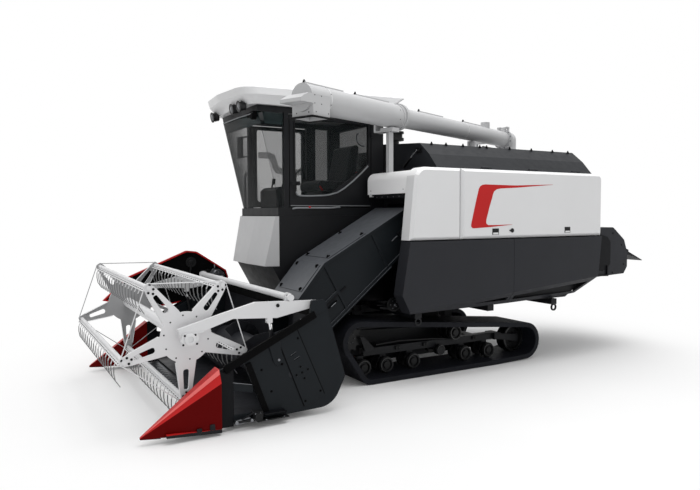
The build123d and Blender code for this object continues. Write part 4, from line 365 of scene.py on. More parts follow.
class Kit:
    """Small parts of one finish that ride one body, gathered into one mesh in layout millimetres."""

    def __init__(self, name, body, material):
        self.name = name
        self.body = body
        self.material = material
        self.mesh = bmesh.new()

    def skin(self, rings, closed=False):
        """Faces between rings of the same number of points, with a cap at each end."""
        loops = [[self.mesh.verts.new(point) for point in ring] for ring in rings]
        pairs = list(zip(loops, loops[1:]))
        if closed:
            pairs.append((loops[-1], loops[0]))
        for low, high in pairs:
            for i in range(len(low)):
                j = (i + 1) % len(low)
                self.mesh.faces.new((low[i], low[j], high[j], high[i]))
        if not closed:
            self.mesh.faces.new(loops[0][::-1])
            self.mesh.faces.new(loops[-1])

    def band(self, outer, inner, low, high):
        """Thin plate between two (x, z) lines of the same number of points, from one y to another."""
        self.skin([[(a, low, b), (a, high, b), (c, high, d), (c, low, d)]
                   for (a, b), (c, d) in zip(outer, inner)])

    def block(self, x, y, z):
        self.skin([[(x[0], y[0], low), (x[1], y[0], low), (x[1], y[1], low), (x[0], y[1], low)] for low in z])

    def side(self, outline, low, high):
        """Plate with an (x, z) outline from one y to another."""
        self.skin([[(x, y, z) for x, z in outline] for y in (low, high)])

    def slab(self, outline, place, u, v, low, high):
        """Plate in the plane of two directions through a place, from low to high off that plane."""
        place, u, v = Vector(place), Vector(u).normalized(), Vector(v).normalized()
        off = u.cross(v).normalized()
        self.skin([[place + u * a + v * b + off * rise for a, b in outline] for rise in (low, high)])

    def turned(self, place, direction, steps, sides=24, twist=0.0):
        """Round part on an axis; steps are pairs of distance along it and radius."""
        place, direction = Vector(place), Vector(direction).normalized()
        self.skin([ring(place + direction * along, direction, radius, sides, twist) for along, radius in steps])

    def washer(self, place, direction, inner, outer, high, sides=28):
        place, direction = Vector(place), Vector(direction).normalized()
        self.skin([ring(place + direction * along, direction, radius, sides)
                   for along, radius in ((0, inner), (0, outer), (high, outer), (high, inner))], closed=True)

    def bolt(self, place, direction, size=9.0, twist=0.3):
        """Washer and six-sided head with a domed face."""
        low, rim, top = size * 0.2, size * 1.15, size * 0.9
        self.turned(place, direction, ((-1, rim), (low, rim)), 18)
        self.turned(place, direction, ((low - 0.5, size), (size * 0.75, size), (top, size * 0.72)), 6, twist)

    def bolts(self, spots, y, size):
        """Bolts at (x, z) spots of a face that looks left."""
        for x, z in spots:
            self.bolt((x, y, z), LEFT, size)

    def rivet(self, place, direction, size=5.0):
        self.turned(place, direction, ((-1, size), (size * 0.25, size), (size * 0.5, size * 0.55)), 12)

    def tube(self, points, radius, sides=10):
        """Bent rod through points."""
        points = [Vector(point) for point in points]
        rings = []
        turn = None
        for i, point in enumerate(points):
            ahead = points[min(i + 1, len(points) - 1)] - point
            behind = point - points[max(i - 1, 0)]
            way = (ahead.normalized() + behind.normalized()).normalized()
            if turn is None:
                turn = way.to_track_quat("Z", "Y")
            else:
                turn = (turn @ Vector(UP)).rotation_difference(way) @ turn
            rings.append([point + turn @ Vector((radius * u, radius * v, 0)) for u, v in around(sides)])
        self.skin(rings)

    def done(self, bevel=0.8, mirror=None):
        """Makes the piece, and its image about the plane at y = mirror, softens it and gives it to its body."""
        if mirror is not None:
            copies = {}
            for vert in list(self.mesh.verts):
                copies[vert] = self.mesh.verts.new((vert.co.x, 2 * mirror - vert.co.y, vert.co.z))
            for face in list(self.mesh.faces):
                self.mesh.faces.new([copies[vert] for vert in reversed(face.verts)])
        self.mesh.normal_update()
        many = [face for face in self.mesh.faces if len(face.verts) > 4]
        bmesh.ops.triangulate(self.mesh, faces=many, ngon_method="EAR_CLIP")
        bmesh.ops.recalc_face_normals(self.mesh, faces=self.mesh.faces)
        bmesh.ops.scale(self.mesh, vec=(0.001, 0.001, 0.001), verts=self.mesh.verts)
        bmesh.ops.translate(self.mesh, vec=SHIFT, verts=self.mesh.verts)
        mesh = bpy.data.meshes.new(self.name)
        self.mesh.to_mesh(mesh)
        self.mesh.free()
        mesh.materials.append(self.material)
        mesh.polygons.foreach_set("use_smooth", [True] * len(mesh.polygons))
        mesh.set_sharp_from_angle(angle=radians(EDGE_ANGLE))
        piece = add_object(self.name, mesh)
        if bevel:
            soften(piece, bevel)
        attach(piece, self.body)


def soften(piece, width, segments=2, angle=EDGE_ANGLE):
    edge = piece.modifiers.new("edges", "BEVEL")
    edge.width = width / 1000
    edge.segments = segments
    edge.limit_method = "ANGLE"
    edge.angle_limit = radians(angle)
    edge.harden_normals = True


def ring(place, direction, radius, sides, twist=0.0):
    turn = direction.to_track_quat("Z", "Y")
    angles = [2 * pi * k / sides + twist for k in range(sides)]
    return [place + turn @ Vector((radius * cos(angle), radius * sin(angle), 0)) for angle in angles]


def rounded(points, steps=6):
    """Outline whose (a, b, radius) corners become arcs."""
    result = []
    for i, (a, b, radius) in enumerate(points):
        corner = Vector((a, b))
        if not radius:
            result.append((a, b))
            continue
        before = (Vector(points[i - 1][:2]) - corner).normalized()
        after = (Vector(points[(i + 1) % len(points)][:2]) - corner).normalized()
        half = before.angle(after) / 2
        reach = radius / tan(half)
        middle = corner + (before + after).normalized() * (radius / sin(half))
        start, end = corner + before * reach - middle, corner + after * reach - middle
        for k in range(steps + 1):
            result.append(tuple(middle + start.slerp(end, k / steps)))
    return result


def pill(a, b, radius, steps=6, middle=(0, 0)):
    """Rounded rectangle of half sizes a and b."""
    corners = (-a, -b), (a, -b), (a, b), (-a, b)
    return rounded([(middle[0] + u, middle[1] + v, radius) for u, v in corners], steps)


def inside(outline, a, b):
    """Whether a point lies in an outline."""
    found = False
    for (a1, b1), (a2, b2) in zip(outline, outline[1:] + outline[:1]):
        if (b1 > b) != (b2 > b) and a < a1 + (b - b1) * (a2 - a1) / (b2 - b1):
            found = not found
    return found


skins = {}


def touch(node, place, direction):
    """Where a line from a place meets a node's skin, and the skin's direction there, in layout millimetres."""
    if node not in skins:
        skins[node] = BVHTree.FromObject(nodes[node], bpy.context.evaluated_depsgraph_get())
    spot, normal, _, _ = skins[node].ray_cast(at(*place), Vector(direction))
    if spot is None:
        raise ValueError(f"{node} isn't met from {place}")
    return (spot - SHIFT) * 1000, normal


def face_materials(node, *rules):
    """Gives the faces of a node other materials: each rule is a material and a test of (centre, normal)."""
    mesh = nodes[node].data
    first = len(mesh.materials)
    for material, _ in rules:
        mesh.materials.append(material)
    for face in mesh.polygons:
        centre = (face.center - SHIFT) * 1000
        for i, (_, test) in enumerate(rules):
            if test(centre, face.normal):
                face.material_index = first + i
                break


dress_nodes()

HEADER_MID = 160
PLATE_FACE = 1380
DIVIDER_MID = HEADER_MID + 1216
SHIELD_FACE = -1100
REEL_X, REEL_Z = 1797, 712
SPIDER_FACE = HEADER_MID + 1090
ARMS = around(5, -89 / 72)
STRIP_HALF = 4.2
FEEDER_SLOPE = (-0.79, 0, 0.61), (0.61, 0, 0.79)
COVER_FACE = 1100
LATCHES = ((-1373, 1434), (-2411, 1436))


def header_faces():
    """Gives the header's beams and posts their own paints by face, with painted light on the feeder's and
    dividers' tops and painted shade on the feeder's sides and the dividers' undersides.
    """
    beam = [(1550, 446), (798, 803), (818, 846), (1568, 490)]
    brace = [(1346, 506), (1400, 486), (1244, 64), (1192, 84)]
    post = [(1480, 20), (1612, 20), (1612, 480), (1480, 480)]

    def raised(c, n):
        proud = abs(c.y - HEADER_MID) > PLATE_FACE - HEADER_MID + 0.3
        return proud and (inside(beam, c.x, c.z) or inside(brace, c.x, c.z))

    def shield_inside(c, n):
        return c.y < -1086 and (n.y > 0.9 or abs(n.y) < 0.3 and n.dot(heart - c) > 0)

    # Undersides and low outer faces near the ground, which take painted shade.
    def divider_underside_shade(c, n):
        return n.z < -0.6 or abs(c.y - HEADER_MID) > 1251 and c.z < 50 + (c.x - 1600) * 0.05

    heart = Vector((1340, 0, 920))
    face_materials("header_end_plates", (POST_GREY, lambda c, n: inside(post, c.x, c.z)), (BEAM_BLACK, raised))
    # The dividers' upward faces take the full red as painted light, their undersides dark grey as painted
    # shade.
    face_materials("dividers", (RED, lambda c, n: n.z > 0.2), (DARK, divider_underside_shade))
    face_materials("reel_shield", (BEAM_BLACK, shield_inside))
    # The feeder house's upward faces take the lighter grey as painted light, its sides the darker grey as
    # painted shade.
    face_materials("feeder_house", (LIT_DECK_GREY, lambda c, n: n.z > 0.5),
                   (SIDE_GREY, lambda c, n: abs(n.y) > 0.8))
    face_materials("header_frame", (BEAM_BLACK, lambda c, n: c.x < 680.5 or n.x > 0.9 and c.z > 770))


def end_plate_trim():
    """Beam cover, raised panel with painted shade in its seams, slots and bolts on each end plate."""
    face = PLATE_FACE
    kit = Kit("end_plate_beams", "header", BEAM_BLACK)
    kit.side([(1548, 436), (794, 796), (820, 846), (1568, 492)], face - 2, face + 24.5)
    kit.done(1, HEADER_MID)
    kit = Kit("end_plate_panels", "header", SIDE_GREY)
    kit.side([(1127, 652), (902, 91), (809, 118), (720, 167), (966, 727)], face - 1, face + 5)
    kit.side([(1202, 608), (1113, 652), (1083, 476), (1129, 445), (1160, 471)], face - 1, face + 12)
    holes = (934, 413), (869, 385), (969, 350), (900, 317)
    for x, z in holes:
        kit.washer((x, face + 4, z), LEFT, 9, 15, 3)
    kit.washer((920, face + 4, 365), LEFT, 14, 24, 2.5)
    kit.done(1.2, HEADER_MID)
    kit = Kit("end_plate_seams", "header", BEAM_BLACK)
    # Dark strips along the panel's two long edges: painted shade in the seam gaps.
    for (x1, z1), (x2, z2) in (((1127, 652), (902, 91)), ((966, 727), (720, 167))):
        along = Vector((x2 - x1, 0, z2 - z1)).normalized() * 3
        kit.side([(x1 + along.z, z1 - along.x), (x2 + along.z, z2 - along.x), (x2 - along.z, z2 + along.x),
                  (x1 - along.z, z1 + along.x)], face - 1, face + 5.6)
    for x1, z1, x2, z2 in ((1019, 509, 972, 535), (990, 474, 942, 496)):
        kit.side([(x1, z1), (x2, z2), (x2, z2 - 8), (x1, z1 - 8)], face + 3, face + 5.5)
    for x, z in (*holes, (920, 365)):
        kit.turned((x, face + 4, z), LEFT, ((0, 9), (1.6, 9)), 18)
    kit.bolts(((954, 641), (757, 196), (892, 132), (1090, 452)), face + 5, 8)
    kit.bolts(((1260, 427), (1290, 300), (1180, 250)), face, 8)
    kit.done(0, HEADER_MID)
    kit = Kit("end_plate_bolts", "header", ZINC)
    kit.bolt((1120, face + 12, 490), LEFT, 9)
    for x in (1068, 1266, 1440, 930):
        z = 484 + (1561 - x) * 354 / 739
        kit.bolt((x, face + 12, z), (0.432, 0, 0.902), 8)
    for x1, z1, x2, z2 in ((1019, 511, 972, 537), (990, 476, 942, 498)):
        kit.side([(x1, z1), (x2, z2), (x2, z2 - 2), (x1, z1 - 2)], face + 3, face + 6.4)
    kit.side([(1490, 357), (1332, 321), (1332, 325), (1490, 361)], face - 6, face + 1)
    kit.done(0.5, HEADER_MID)


def knife_trim():
    """Bare links, bolts and the guard bow of the knife drive, outside the left end plate."""
    face = PLATE_FACE
    kit = Kit("knife_drive_links", "header", ZINC)
    for low in (52, 78):
        kit.side([(1478, low), (1372, low + 8), (1372, low + 13), (1478, low + 5)], face + 32, face + 50)
    kit.turned((1482, face + 30, 67), LEFT, ((0, 15), (26, 15), (30, 12)), 20)
    kit.turned((1366, face + 50, 72), LEFT, ((0, 12), (20, 12), (23, 9)), 20)
    kit.bolts(((1298, 112), (1334, 112), (1298, 70), (1338, 66)), face + 60, 6)
    kit.bolts(((1250, 56),), face + 61, 6)
    kit.bolts(((1100, 56),), face + 59, 6)
    kit.done(0.8)
    kit = Kit("knife_drive_guard", "header", POST_GREY)
    kit.block((1082, 1262), (face, face + 66), (94, 102))
    kit.block((1082, 1092), (face + 56, face + 66), (58, 102))
    kit.side([(1262, 102), (1350, 132), (1356, 126), (1268, 94)], face, face + 58)
    kit.tube([(1346, face + 56, 122), (1390, face + 60, 112), (1430, face + 56, 92), (1440, face + 40, 84)], 6)
    kit.done(1)


def divider_trim():
    """Dark points and foot lugs of the crop dividers, and a painted highlight along each outer crest."""
    mid = DIVIDER_MID
    kit = Kit("divider_points", "header", DARK)
    kit.skin([[(x, mid - half, z - half - 2), (x, mid + half, z - half - 2), (x, mid + half, z + half * 0.35),
               (x, mid - half, z + half * 0.35)] for x, half, z in ((2030, 19, 58), (2166, 8, 58))])
    for x, tall in ((1648, 60), (1745, 44)):
        kit.side([(x, 34), (x + 44, 34), (x + 40, 34 + tall), (x + 6, 34 + tall)], mid + 62, mid + 75)
    kit.done(1.2, HEADER_MID)
    # Thin pale strip along each outer crest: painted highlight.
    kit = Kit("divider_highlights", "header", RED_HIGHLIGHT)
    tip = Vector((2168, mid + 4.5, 64.5)), Vector((2168, mid + 9, 60))
    rear = Vector((1602, mid + 26, 479)), Vector((1602, mid + 76, 385))
    off = Vector((0.3, 0.84, 0.45)) * 1.6
    rings = []
    for share in (0, 0.97):
        crest, side = rear[0].lerp(tip[0], share), rear[1].lerp(tip[1], share)
        low = crest.lerp(side, 0.36)
        rings.append([crest - off, low - off, low + off, crest + off])
    kit.skin(rings)
    kit.done(0, HEADER_MID)


def shield_trim():
    """Belt drive behind the reel's shield, seen from the cutting side."""
    deep = SHIELD_FACE
    kit = Kit("reel_drive_wheels", "header", CAST)
    for x, z, radius in ((1087, 1085, 58), (889, 905, 92)):
        groove = radius - 8
        kit.turned((x, deep - 10, z), LEFT, ((0, radius), (6, radius), (9, groove), (15, groove), (18, radius),
                                             (24, radius), (24, radius - 12), (18, radius - 14), (18, 24),
                                             (30, 24), (32, 18)), 40)
    kit.tube([(1087, deep + 10, 1085), (1090, deep + 12, 1020), (1105, deep + 12, 960)], 10)
    kit.done(0)
    kit = Kit("reel_drive_motor", "header", ZINC)
    kit.side(rounded([(700, 912, 0), (706, 960, 10), (770, 984, 12), (842, 1018, 12), (892, 962, 14),
                      (878, 914, 0)]), deep, deep + 26)
    kit.turned((806, deep + 20, 955), LEFT, ((0, 30), (14, 30), (20, 22)), 28)
    kit.turned((820, deep + 12, 1010), UP, ((0, 7), (36, 7), (40, 5)), 14)
    kit.bolts(((724, 938), (778, 926), (850, 940), (846, 990)), deep + 26, 6)
    kit.done(1)


def on_arm(arm, along, across):
    """(x, z) of a point on a reel arm, whose direction is given by its cosine and sine."""
    u, w = arm
    return REEL_X + along * u - across * w, REEL_Z + along * w + across * u


def reel_trim():
    """Bolts, ribs, bearing housings and dark clamps of the reel."""
    kit = Kit("reel_bolts", "reel", DARK)
    for u, w in around(10, 10 / 36):
        kit.rivet((REEL_X + 166 * u, SPIDER_FACE, REEL_Z + 166 * w), LEFT, 6)
    for arm in ARMS:
        kit.bolts([on_arm(arm, *spot) for spot in ((436, 22), (436, -22), (478, 20), (410, 0))], SPIDER_FACE, 8)
    kit.done(0, HEADER_MID)
    kit = Kit("reel_ribs", "reel", REEL_WHITE)
    rib = (190, 71), (422, 37), (422, 42), (190, 76)
    for arm in ARMS:
        for side in (-1, 1):
            outline = [on_arm(arm, along, side * across) for along, across in rib]
            kit.side(outline, SPIDER_FACE - 34, SPIDER_FACE - 16)
    kit.done(0.8, HEADER_MID)
    kit = Kit("reel_bearings", "reel_arms", REEL_WHITE)
    face = HEADER_MID + 1180
    kit.side(rounded([(1852, 770, 8), (1880, 700, 10), (1828, 648, 12), (1762, 650, 12), (1722, 706, 10),
                      (1738, 760, 8)]), face - 2, face + 12)
    kit.turned((REEL_X, face + 6, REEL_Z), LEFT, ((0, 44), (16, 42), (20, 30), (20, 22), (12, 20)), 32)
    kit.block((1690, 1872), (face - 38, face + 6), (752, 762))
    kit.turned((990, face - 84, 957), LEFT, ((0, 36), (26, 36)), 28)
    kit.side([(960, 930), (1030, 930), (1024, 966), (1006, 988), (974, 988), (956, 960)], face - 44, face - 34)
    kit.done(1.5, HEADER_MID)
    kit = Kit("reel_arm_bolts", "reel_arms", CAST)
    kit.bolt((1104, face, 906), LEFT, 13)
    kit.washer((793, face - 1, 894), LEFT, 11, 20, 3)
    kit.turned((793, face - 1, 894), LEFT, ((0, 11), (2, 11)), 20)
    kit.bolts(((1758, 742), (1836, 742), (1848, 676), (1748, 676)), face + 12, 7)
    kit.bolts(((972, 974), (1008, 974)), face - 34, 6)
    kit.done(0, HEADER_MID)


def strip_holes():
    """Black slots along the strips that hold the tines, painted as the shade seen through them; the greys of
    the tines; and painted shade on the far spider's faces.
    """
    along = Vector((38, 0, -22)).normalized()
    for i, arm in enumerate(ARMS, 1):
        x, z = on_arm(arm, 465, 0)
        # Flush black inlays where the slots are: painted shade.
        kit = Kit(f"tine_slot_shade_{i}", f"tine_bar_{i}", BEAM_BLACK)
        for j in range(35):
            place = Vector((x, HEADER_MID - 1020 + 60 * j, z)) + along * 33
            kit.slab(pill(20, 8, 7, 3), place, LEFT, along, -STRIP_HALF, STRIP_HALF)
        kit.done(0)
        face_materials(f"tine_bar_{i}", (TINE_GREY, lambda c, n: hypot(c.x - x, c.z - z) > 66))
    # The far spider's side faces take the darker white: painted shade.
    face_materials("reel_rotor", (PAINTED_SHADE_WHITE, lambda c, n: c.y < HEADER_MID - 700 and abs(n.y) > 0.5))


def feeder_trim():
    """Clamps on the deck plates, the side's latch and clips."""
    bend = Vector((410, 0, 1170))
    up = (Vector((-505, 0, 1676)) - bend).normalized()
    down = (Vector((679.7, 0, 850)) - bend).normalized()
    off_up = Vector((up.z, 0, -up.x))
    off_down = Vector((-down.z, 0, down.x))
    kit = Kit("feeder_clamps", "header", BEAM_BLACK)
    for way, off, spans in ((up, off_up, (98, 512)), (down, off_down, (44, 306))):
        for along in spans:
            for y in (300, 720):
                place = bend + way * along + Vector((0, y, 0)) + off * 4
                kit.slab([(-17, -9), (17, -9), (17, 9), (-17, 9)], place, way, LEFT, -11, 11)
                kit.turned(place + off * 2, off, ((0, 8), (16, 8), (18, 5)), 14)
    kit.slab(pill(62, 11, 8), (322, 797, 788), *FEEDER_SLOPE, -6, 6)
    kit.done(0.8)
    kit = Kit("feeder_latch", "header", ZINC)
    kit.slab(pill(34, 8, 6), (322, 806, 788), *FEEDER_SLOPE, -6, 6)
    kit.tube([(-330, 792, 1352), (-352, 806, 1380), (-378, 806, 1398), (-398, 792, 1396)], 4)
    kit.done(1)
    kit = Kit("feeder_rib", "header", POST_GREY)
    kit.side([(412, 752), (176, 936), (186, 949), (422, 765)], 785, 797)
    kit.done(1.2)


def cover_trim():
    """Red sweep, latches and lock on the left side cover, and painted light on the covers' upward faces."""
    face = COVER_FACE
    # Upward faces of both side covers take the brighter white: painted light.
    for cover in ("side_cover", "front_side_cover"):
        face_materials(cover, (PAINTED_LIGHT_WHITE, lambda c, n: n.z > 0.3 and c.z < 2055))
    kit = Kit("cover_sweep", "side_cover", RED)
    outer = [(-2180, 1920), (-1650, 1900), (-1350, 1902), (-1235, 1903), (-1196, 1898), (-1168, 1884),
             (-1150, 1860), (-1112, 1730), (-1054, 1510), (-1055, 1488), (-1070, 1473), (-1097, 1470),
             (-1300, 1480), (-1600, 1501)]
    inner = [(-2180, 1918), (-1650, 1877), (-1440, 1866), (-1385, 1857), (-1350, 1835), (-1334, 1806),
             (-1324, 1770), (-1290, 1680), (-1250, 1553), (-1248, 1530), (-1254, 1512), (-1276, 1500),
             (-1400, 1500), (-1600, 1503)]
    kit.band(outer, inner, face - 1, face + 0.8)
    kit.done(0)
    kit = Kit("cover_latch_frames", "side_cover", CAST)
    for x, z in LATCHES:
        kit.side(pill(48, 36, 6, middle=(x, z)), face - 1, face + 2.5)
        kit.block((x - 38, x + 38), (face + 2, face + 3.2), (z - 2, z + 28))
    kit.turned((-1600, face - 1, 1442), LEFT, ((0, 22), (6, 22), (9, 17)), 26)
    kit.side([(-1604, 1460), (-1560, 1446), (-1560, 1438), (-1604, 1424)], face - 1, face + 6)
    kit.done(0.6)
    kit = Kit("cover_latch_paddles", "side_cover", WHITE)
    for x, z in LATCHES:
        kit.block((x - 34, x + 34), (face + 2, face + 5), (z - 28, z - 10))
    kit.done(0.8)


header_faces()
end_plate_trim()
knife_trim()
divider_trim()
shield_trim()
reel_trim()
strip_holes()
feeder_trim()
cover_trim()


CAB_SIDE = 150
# Layout y of the dark sheets inside the tracks that paint the shade under the machine.
SHADE_SHEET_Y = 412
LAMP_Y = (-760, -160, 40)
TANK_SEAMS = (-1320, -1850, -2380)
SCREEN_LEAN = (780 - 556) / (2610 - 1680)
RISER = (-3095, -520)
TUBE_TURN = radians(21.7)
TUBE_ALONG = Vector((cos(TUBE_TURN), sin(TUBE_TURN), 0))
TUBE_ACROSS = Vector((-sin(TUBE_TURN), cos(TUBE_TURN), 0))


def on_screen(y, z, off=0.0):
    """Point on the leaning windscreen's outer face."""
    return Vector((556 + SCREEN_LEAN * (z - 1680) + off, y, z - off * SCREEN_LEAN))


def on_tube(along, across, rise):
    """Point by the unloading tube's own axis."""
    return Vector((*RISER, 2600 + rise)) + TUBE_ALONG * along + TUBE_ACROSS * across


def round_tube(along, radius, count):
    """Evenly spaced places round the unloading tube, each with its way out from the axis."""
    ways = [TUBE_ACROSS * u + Vector((0, 0, w)) for u, w in around(count, 0.5)]
    return [(on_tube(along, 0, 0) + way * radius, way) for way in ways]


def cab_trim():
    """Lamps, wiper, handles, seals and glass tints of the cab, painted shade on the windscreen and a painted
    reflection on the right door, and greys by face around it.
    """
    # The windscreen takes the glass darkened as painted shade towards the right side.
    face_materials("cab_glass", (DARK_GLASS, lambda c, n: c.x < -300),
                   (SHADED_SCREEN_GLASS, lambda c, n: abs(n.x) > 0.7))
    face_materials("side_cover", (COVER_GREY, lambda c, n: c.z > 2055))
    face_materials("thresher_body", (COVER_GREY, lambda c, n: c.z > 2040 and c.y > 900))
    face_materials("auger_tube", (SEAL, lambda c, n: c.z < 2437.5))
    face_materials("cab_frame", (LEDGE_GREY, lambda c, n: n.x > 0.9 and c.z < 1682))
    kit = Kit("lamp_housings", "machine", PLASTIC)
    way = Vector((64, 0, -12)).normalized()
    for y in LAMP_Y:
        front = Vector((929, y, 2644))
        kit.washer(front - way * 6, way, 35, 54, 9, 32)
        kit.washer(front - way * 34, way, 43, 47, 6, 32)
        for angle in (0.5, 2.6, 4.7):
            across, up = y + 44 * cos(angle), 2646 + 44 * sin(angle)
            kit.block((915, 927), (across - 5, across + 5), (up - 5, up + 5))
        kit.block((866, 900), (y - 12, y + 12), (2690, 2716))
    kit.done(1)
    kit = Kit("lamp_lenses", "machine", LENS)
    for y in LAMP_Y:
        kit.turned(Vector((929, y, 2644)) - way * 2, way, ((0, 36), (3, 34), (6, 26), (8, 14), (8.5, 4)), 32)
    kit.done(0)
    kit = Kit("wiper_motor", "machine", BEAM_BLACK)
    kit.block((778, 812), (28, 122), (2546, 2604))
    kit.block((778, 806), (-70, 28), (2562, 2600))
    kit.turned((776, 92, 2556), AHEAD, ((0, 34), (40, 34), (46, 28)), 28)
    kit.turned((776, -40, 2580), AHEAD, ((0, 24), (34, 22)), 24)
    kit.done(3)
    kit = Kit("wiper_arm", "machine", GREY_PLASTIC)
    kit.tube([(816, 110, 2580), (814, -300, 2588), (806, -760, 2590)], 5)
    kit.done(0)
    kit = Kit("sun_bands", "machine", SUN_BAND)
    kit.skin([[on_screen(y, z, off) for y, z in ((-836, 2486), (136, 2486), (136, 2601), (-836, 2601))]
              for off in (-7.2, -6.2)])
    kit.side([(508, 2490), (700, 2490), (722, 2600), (508, 2600)], CAB_SIDE - 21.5, CAB_SIDE - 20.5)
    kit.done(0)
    kit = Kit("door_seal", "left_door", GREY_PLASTIC)
    line = ((-457, 2118), (-380, 2046), (-272, 1955), (-170, 1880), (-90, 1836), (0, 1812), (66, 1803),
            (229, 1796), (335, 1797), (368, 1808), (384, 1836))
    kit.tube([(x, CAB_SIDE + 1, z) for x, z in line], 8)
    kit.block((-486, 440), (CAB_SIDE - 1, CAB_SIDE + 3), (1696, 1703))
    kit.done(0)
    kit = Kit("door_inner_handle", "left_door", GREY_PLASTIC)
    kit.tube([(-372, 102, 2460), (-358, 84, 2447), (-358, 84, 2387), (-380, 84, 2352), (-420, 90, 2330),
              (-448, 104, 2330)], 8)
    kit.done(0)
    kit = Kit("door_lock", "left_door", CAST)
    kit.washer((361, CAB_SIDE + 14, 1919), LEFT, 14, 21, 8)
    kit.bolts(((424, 1928), (424, 1908)), CAB_SIDE + 10, 6)
    kit.block((388, 402), (CAB_SIDE + 1, CAB_SIDE + 8), (1780, 2560))
    kit.done(0.8)
    kit = Kit("sill_rail", "machine", GREY_PLASTIC)
    kit.tube([(420, CAB_SIDE + 1, 1668), (388, CAB_SIDE + 16, 1676), (0, CAB_SIDE + 16, 1676),
              (-80, CAB_SIDE + 16, 1684), (-116, CAB_SIDE + 1, 1684)], 9)
    kit.done(0)
    kit = Kit("sill_button", "machine", RED)
    kit.turned((241, CAB_SIDE + 20, 1684), LEFT, ((0, 11), (8, 11), (12, 8)), 18)
    kit.done(0)
    # Curved pale band across the right door's glass: painted reflection.
    kit = Kit("door_painted_reflection", "right_door", REFLECTION_GLASS)
    upper = [(384, 2312), (250, 2312), (185, 2290), (160, 2228), (146, 2174), (126, 2148), (66, 2134),
             (-66, 2127), (-118, 2136), (-152, 2162), (-160, 2225)]
    lower = [(384, 2242), (270, 2240), (246, 2232), (232, 2202), (214, 2138), (174, 2082), (72, 2060),
             (-74, 2053), (-162, 2072), (-220, 2118), (-232, 2215)]
    kit.band(upper, lower, -825.5, -824.5)
    kit.done(0)
    kit = Kit("cab_buckles", "machine", RED)
    kit.slab([(-9, -30), (9, -30), (9, 30), (-9, 30)], (-30, -90, 1890), LEFT, (0.6, 0, 0.8), 0, 14)
    kit.block((-600, -520), (-300, -180), (2062, 2080))
    kit.done(2)
    kit = Kit("nose_seams", "machine", SEAL)
    for y in (CAB_SIDE + 1, -851):
        kit.block((556, 566), (y - 1, y + 1), (1110, 1590))
    kit.block((556, 580), (-845, 145), (1594.5, 1600))
    kit.done(0)


def roof_trim():
    """Screws along both sides of the roof's brim."""
    kit = Kit("roof_screws", "machine", CAST)
    for x in (-520, -60, 360):
        for direction, start in ((RIGHT, 700), (LEFT, -1400)):
            spot, normal = touch("cab_roof", (x, start, 2706), direction)
            kit.rivet(spot, normal, 6)
    kit.done(0)


def tube_trim():
    """Screws, lugs and seams of the unloading tube."""
    kit = Kit("tube_lugs", "auger_tube", CAST)
    for along, radius in ((4076, 120), (3374, 120), (2262, 100), (1274, 100)):
        kit.turned(on_tube(along, 0, radius + 6), UP, ((0, 13), (14, 12), (26, 5), (28, 3)), 14)
    for across in (120, -120):
        for along, rise in ((3990, 10), (3990, -58), (4076, 10), (4076, -58), (3900, -128), (4060, -128)):
            kit.rivet(on_tube(along, across, rise), TUBE_ACROSS * across, 5)
    for across in (-70, 70):
        kit.rivet(on_tube(4096, across, -130), TUBE_ALONG, 6)
    for seam, radius in ((1296, 100), (3852, 120), (2780, 120)):
        for place, way in round_tube(seam, radius, 8):
            kit.rivet(place, way, 5)
    kit.done(0)
    kit = Kit("tube_flange_bolts", "auger_tube", ZINC)
    for place, _ in round_tube(184, 119, 12):
        kit.bolt(place, TUBE_ALONG, 8)
    for place, _ in round_tube(2640, 122, 8):
        kit.bolt(place, -TUBE_ALONG, 7)
    kit.done(0)
    kit = Kit("tube_seams", "auger_tube", WHITE)
    for along, radius in ((1300, 100.8), (3846, 120.8)):
        kit.washer(on_tube(along, 0, 0), TUBE_ALONG, radius - 4, radius + 1, 9, 48)
    kit.done(0.8)
    kit = Kit("elbow_bolts", "auger_elbow", ZINC)
    for place, _ in round_tube(146, 119, 12):
        kit.bolt(place, -TUBE_ALONG, 8)
    kit.done(0)
    kit = Kit("riser_bolts", "machine", ZINC)
    for u, w in around(12, 0.5):
        kit.bolt((RISER[0] + 119 * u, RISER[1] + 119 * w, 2404), DOWN, 8)
    kit.done(0)


def top_cover_trim():
    """Knobs along the dark cover's crest, and the gas strut at its front end."""
    kit = Kit("cover_knobs", "machine", BEAM_BLACK)
    for x in (-940, -1129, -1356, -1590, -1688, -2026, -2360, -2700, -2960):
        spot, _ = touch("top_cover", (x, 612, 2800), DOWN)
        kit.turned(spot, UP, ((-2, 15), (10, 14), (14, 9), (24, 7), (28, 5)), 14)
    kit.done(0)
    kit = Kit("cover_strut", "machine", CAST)
    low, high = Vector((-792, 330, 2110)), Vector((-786, 560, 2262))
    kit.tube([low, low.lerp(high, 0.55)], 10, 14)
    kit.turned(low - Vector((8, 0, 0)), AHEAD, ((0, 13), (14, 13)), 16)
    kit.block((-801, -792), (540, 640), (2228, 2288))
    kit.done(1)
    kit = Kit("cover_strut_rod", "machine", CHROME)
    kit.tube([low.lerp(high, 0.5), high], 5, 12)
    kit.turned(high - Vector((6, 0, 0)), AHEAD, ((0, 10), (12, 10)), 14)
    kit.done(0)


def hood_trim():
    """Dark frame and screws under the hood, and the bolts of the tube's cradle behind it."""
    kit = Kit("hood_underframe", "machine", DARK)
    kit.block((-640, -430), (240, 900), (1796, 1813))
    kit.block((-452, -436), (300, 900), (1770, 1798))
    kit.done(2)
    kit = Kit("hood_screws", "machine", ZINC)
    for y in (360, 460, 560, 660, 760, 860):
        kit.rivet((-436, y, 1784), AHEAD, 6)
    for y in (300, 880):
        spot, normal = touch("feeder_hood", (0, y, 1850), BACK)
        kit.rivet(spot, normal, 6)
    kit.done(0)
    kit = Kit("cradle_bolts", "machine", ZINC)
    middle = Vector((-488, RISER[1] + (-488 - RISER[0]) * tan(TUBE_TURN), 2434))
    for across in (-40, 40):
        for along in (-40, 40):
            kit.bolt(middle + TUBE_ALONG * along + TUBE_ACROSS * across, DOWN, 7)
    kit.done(0)


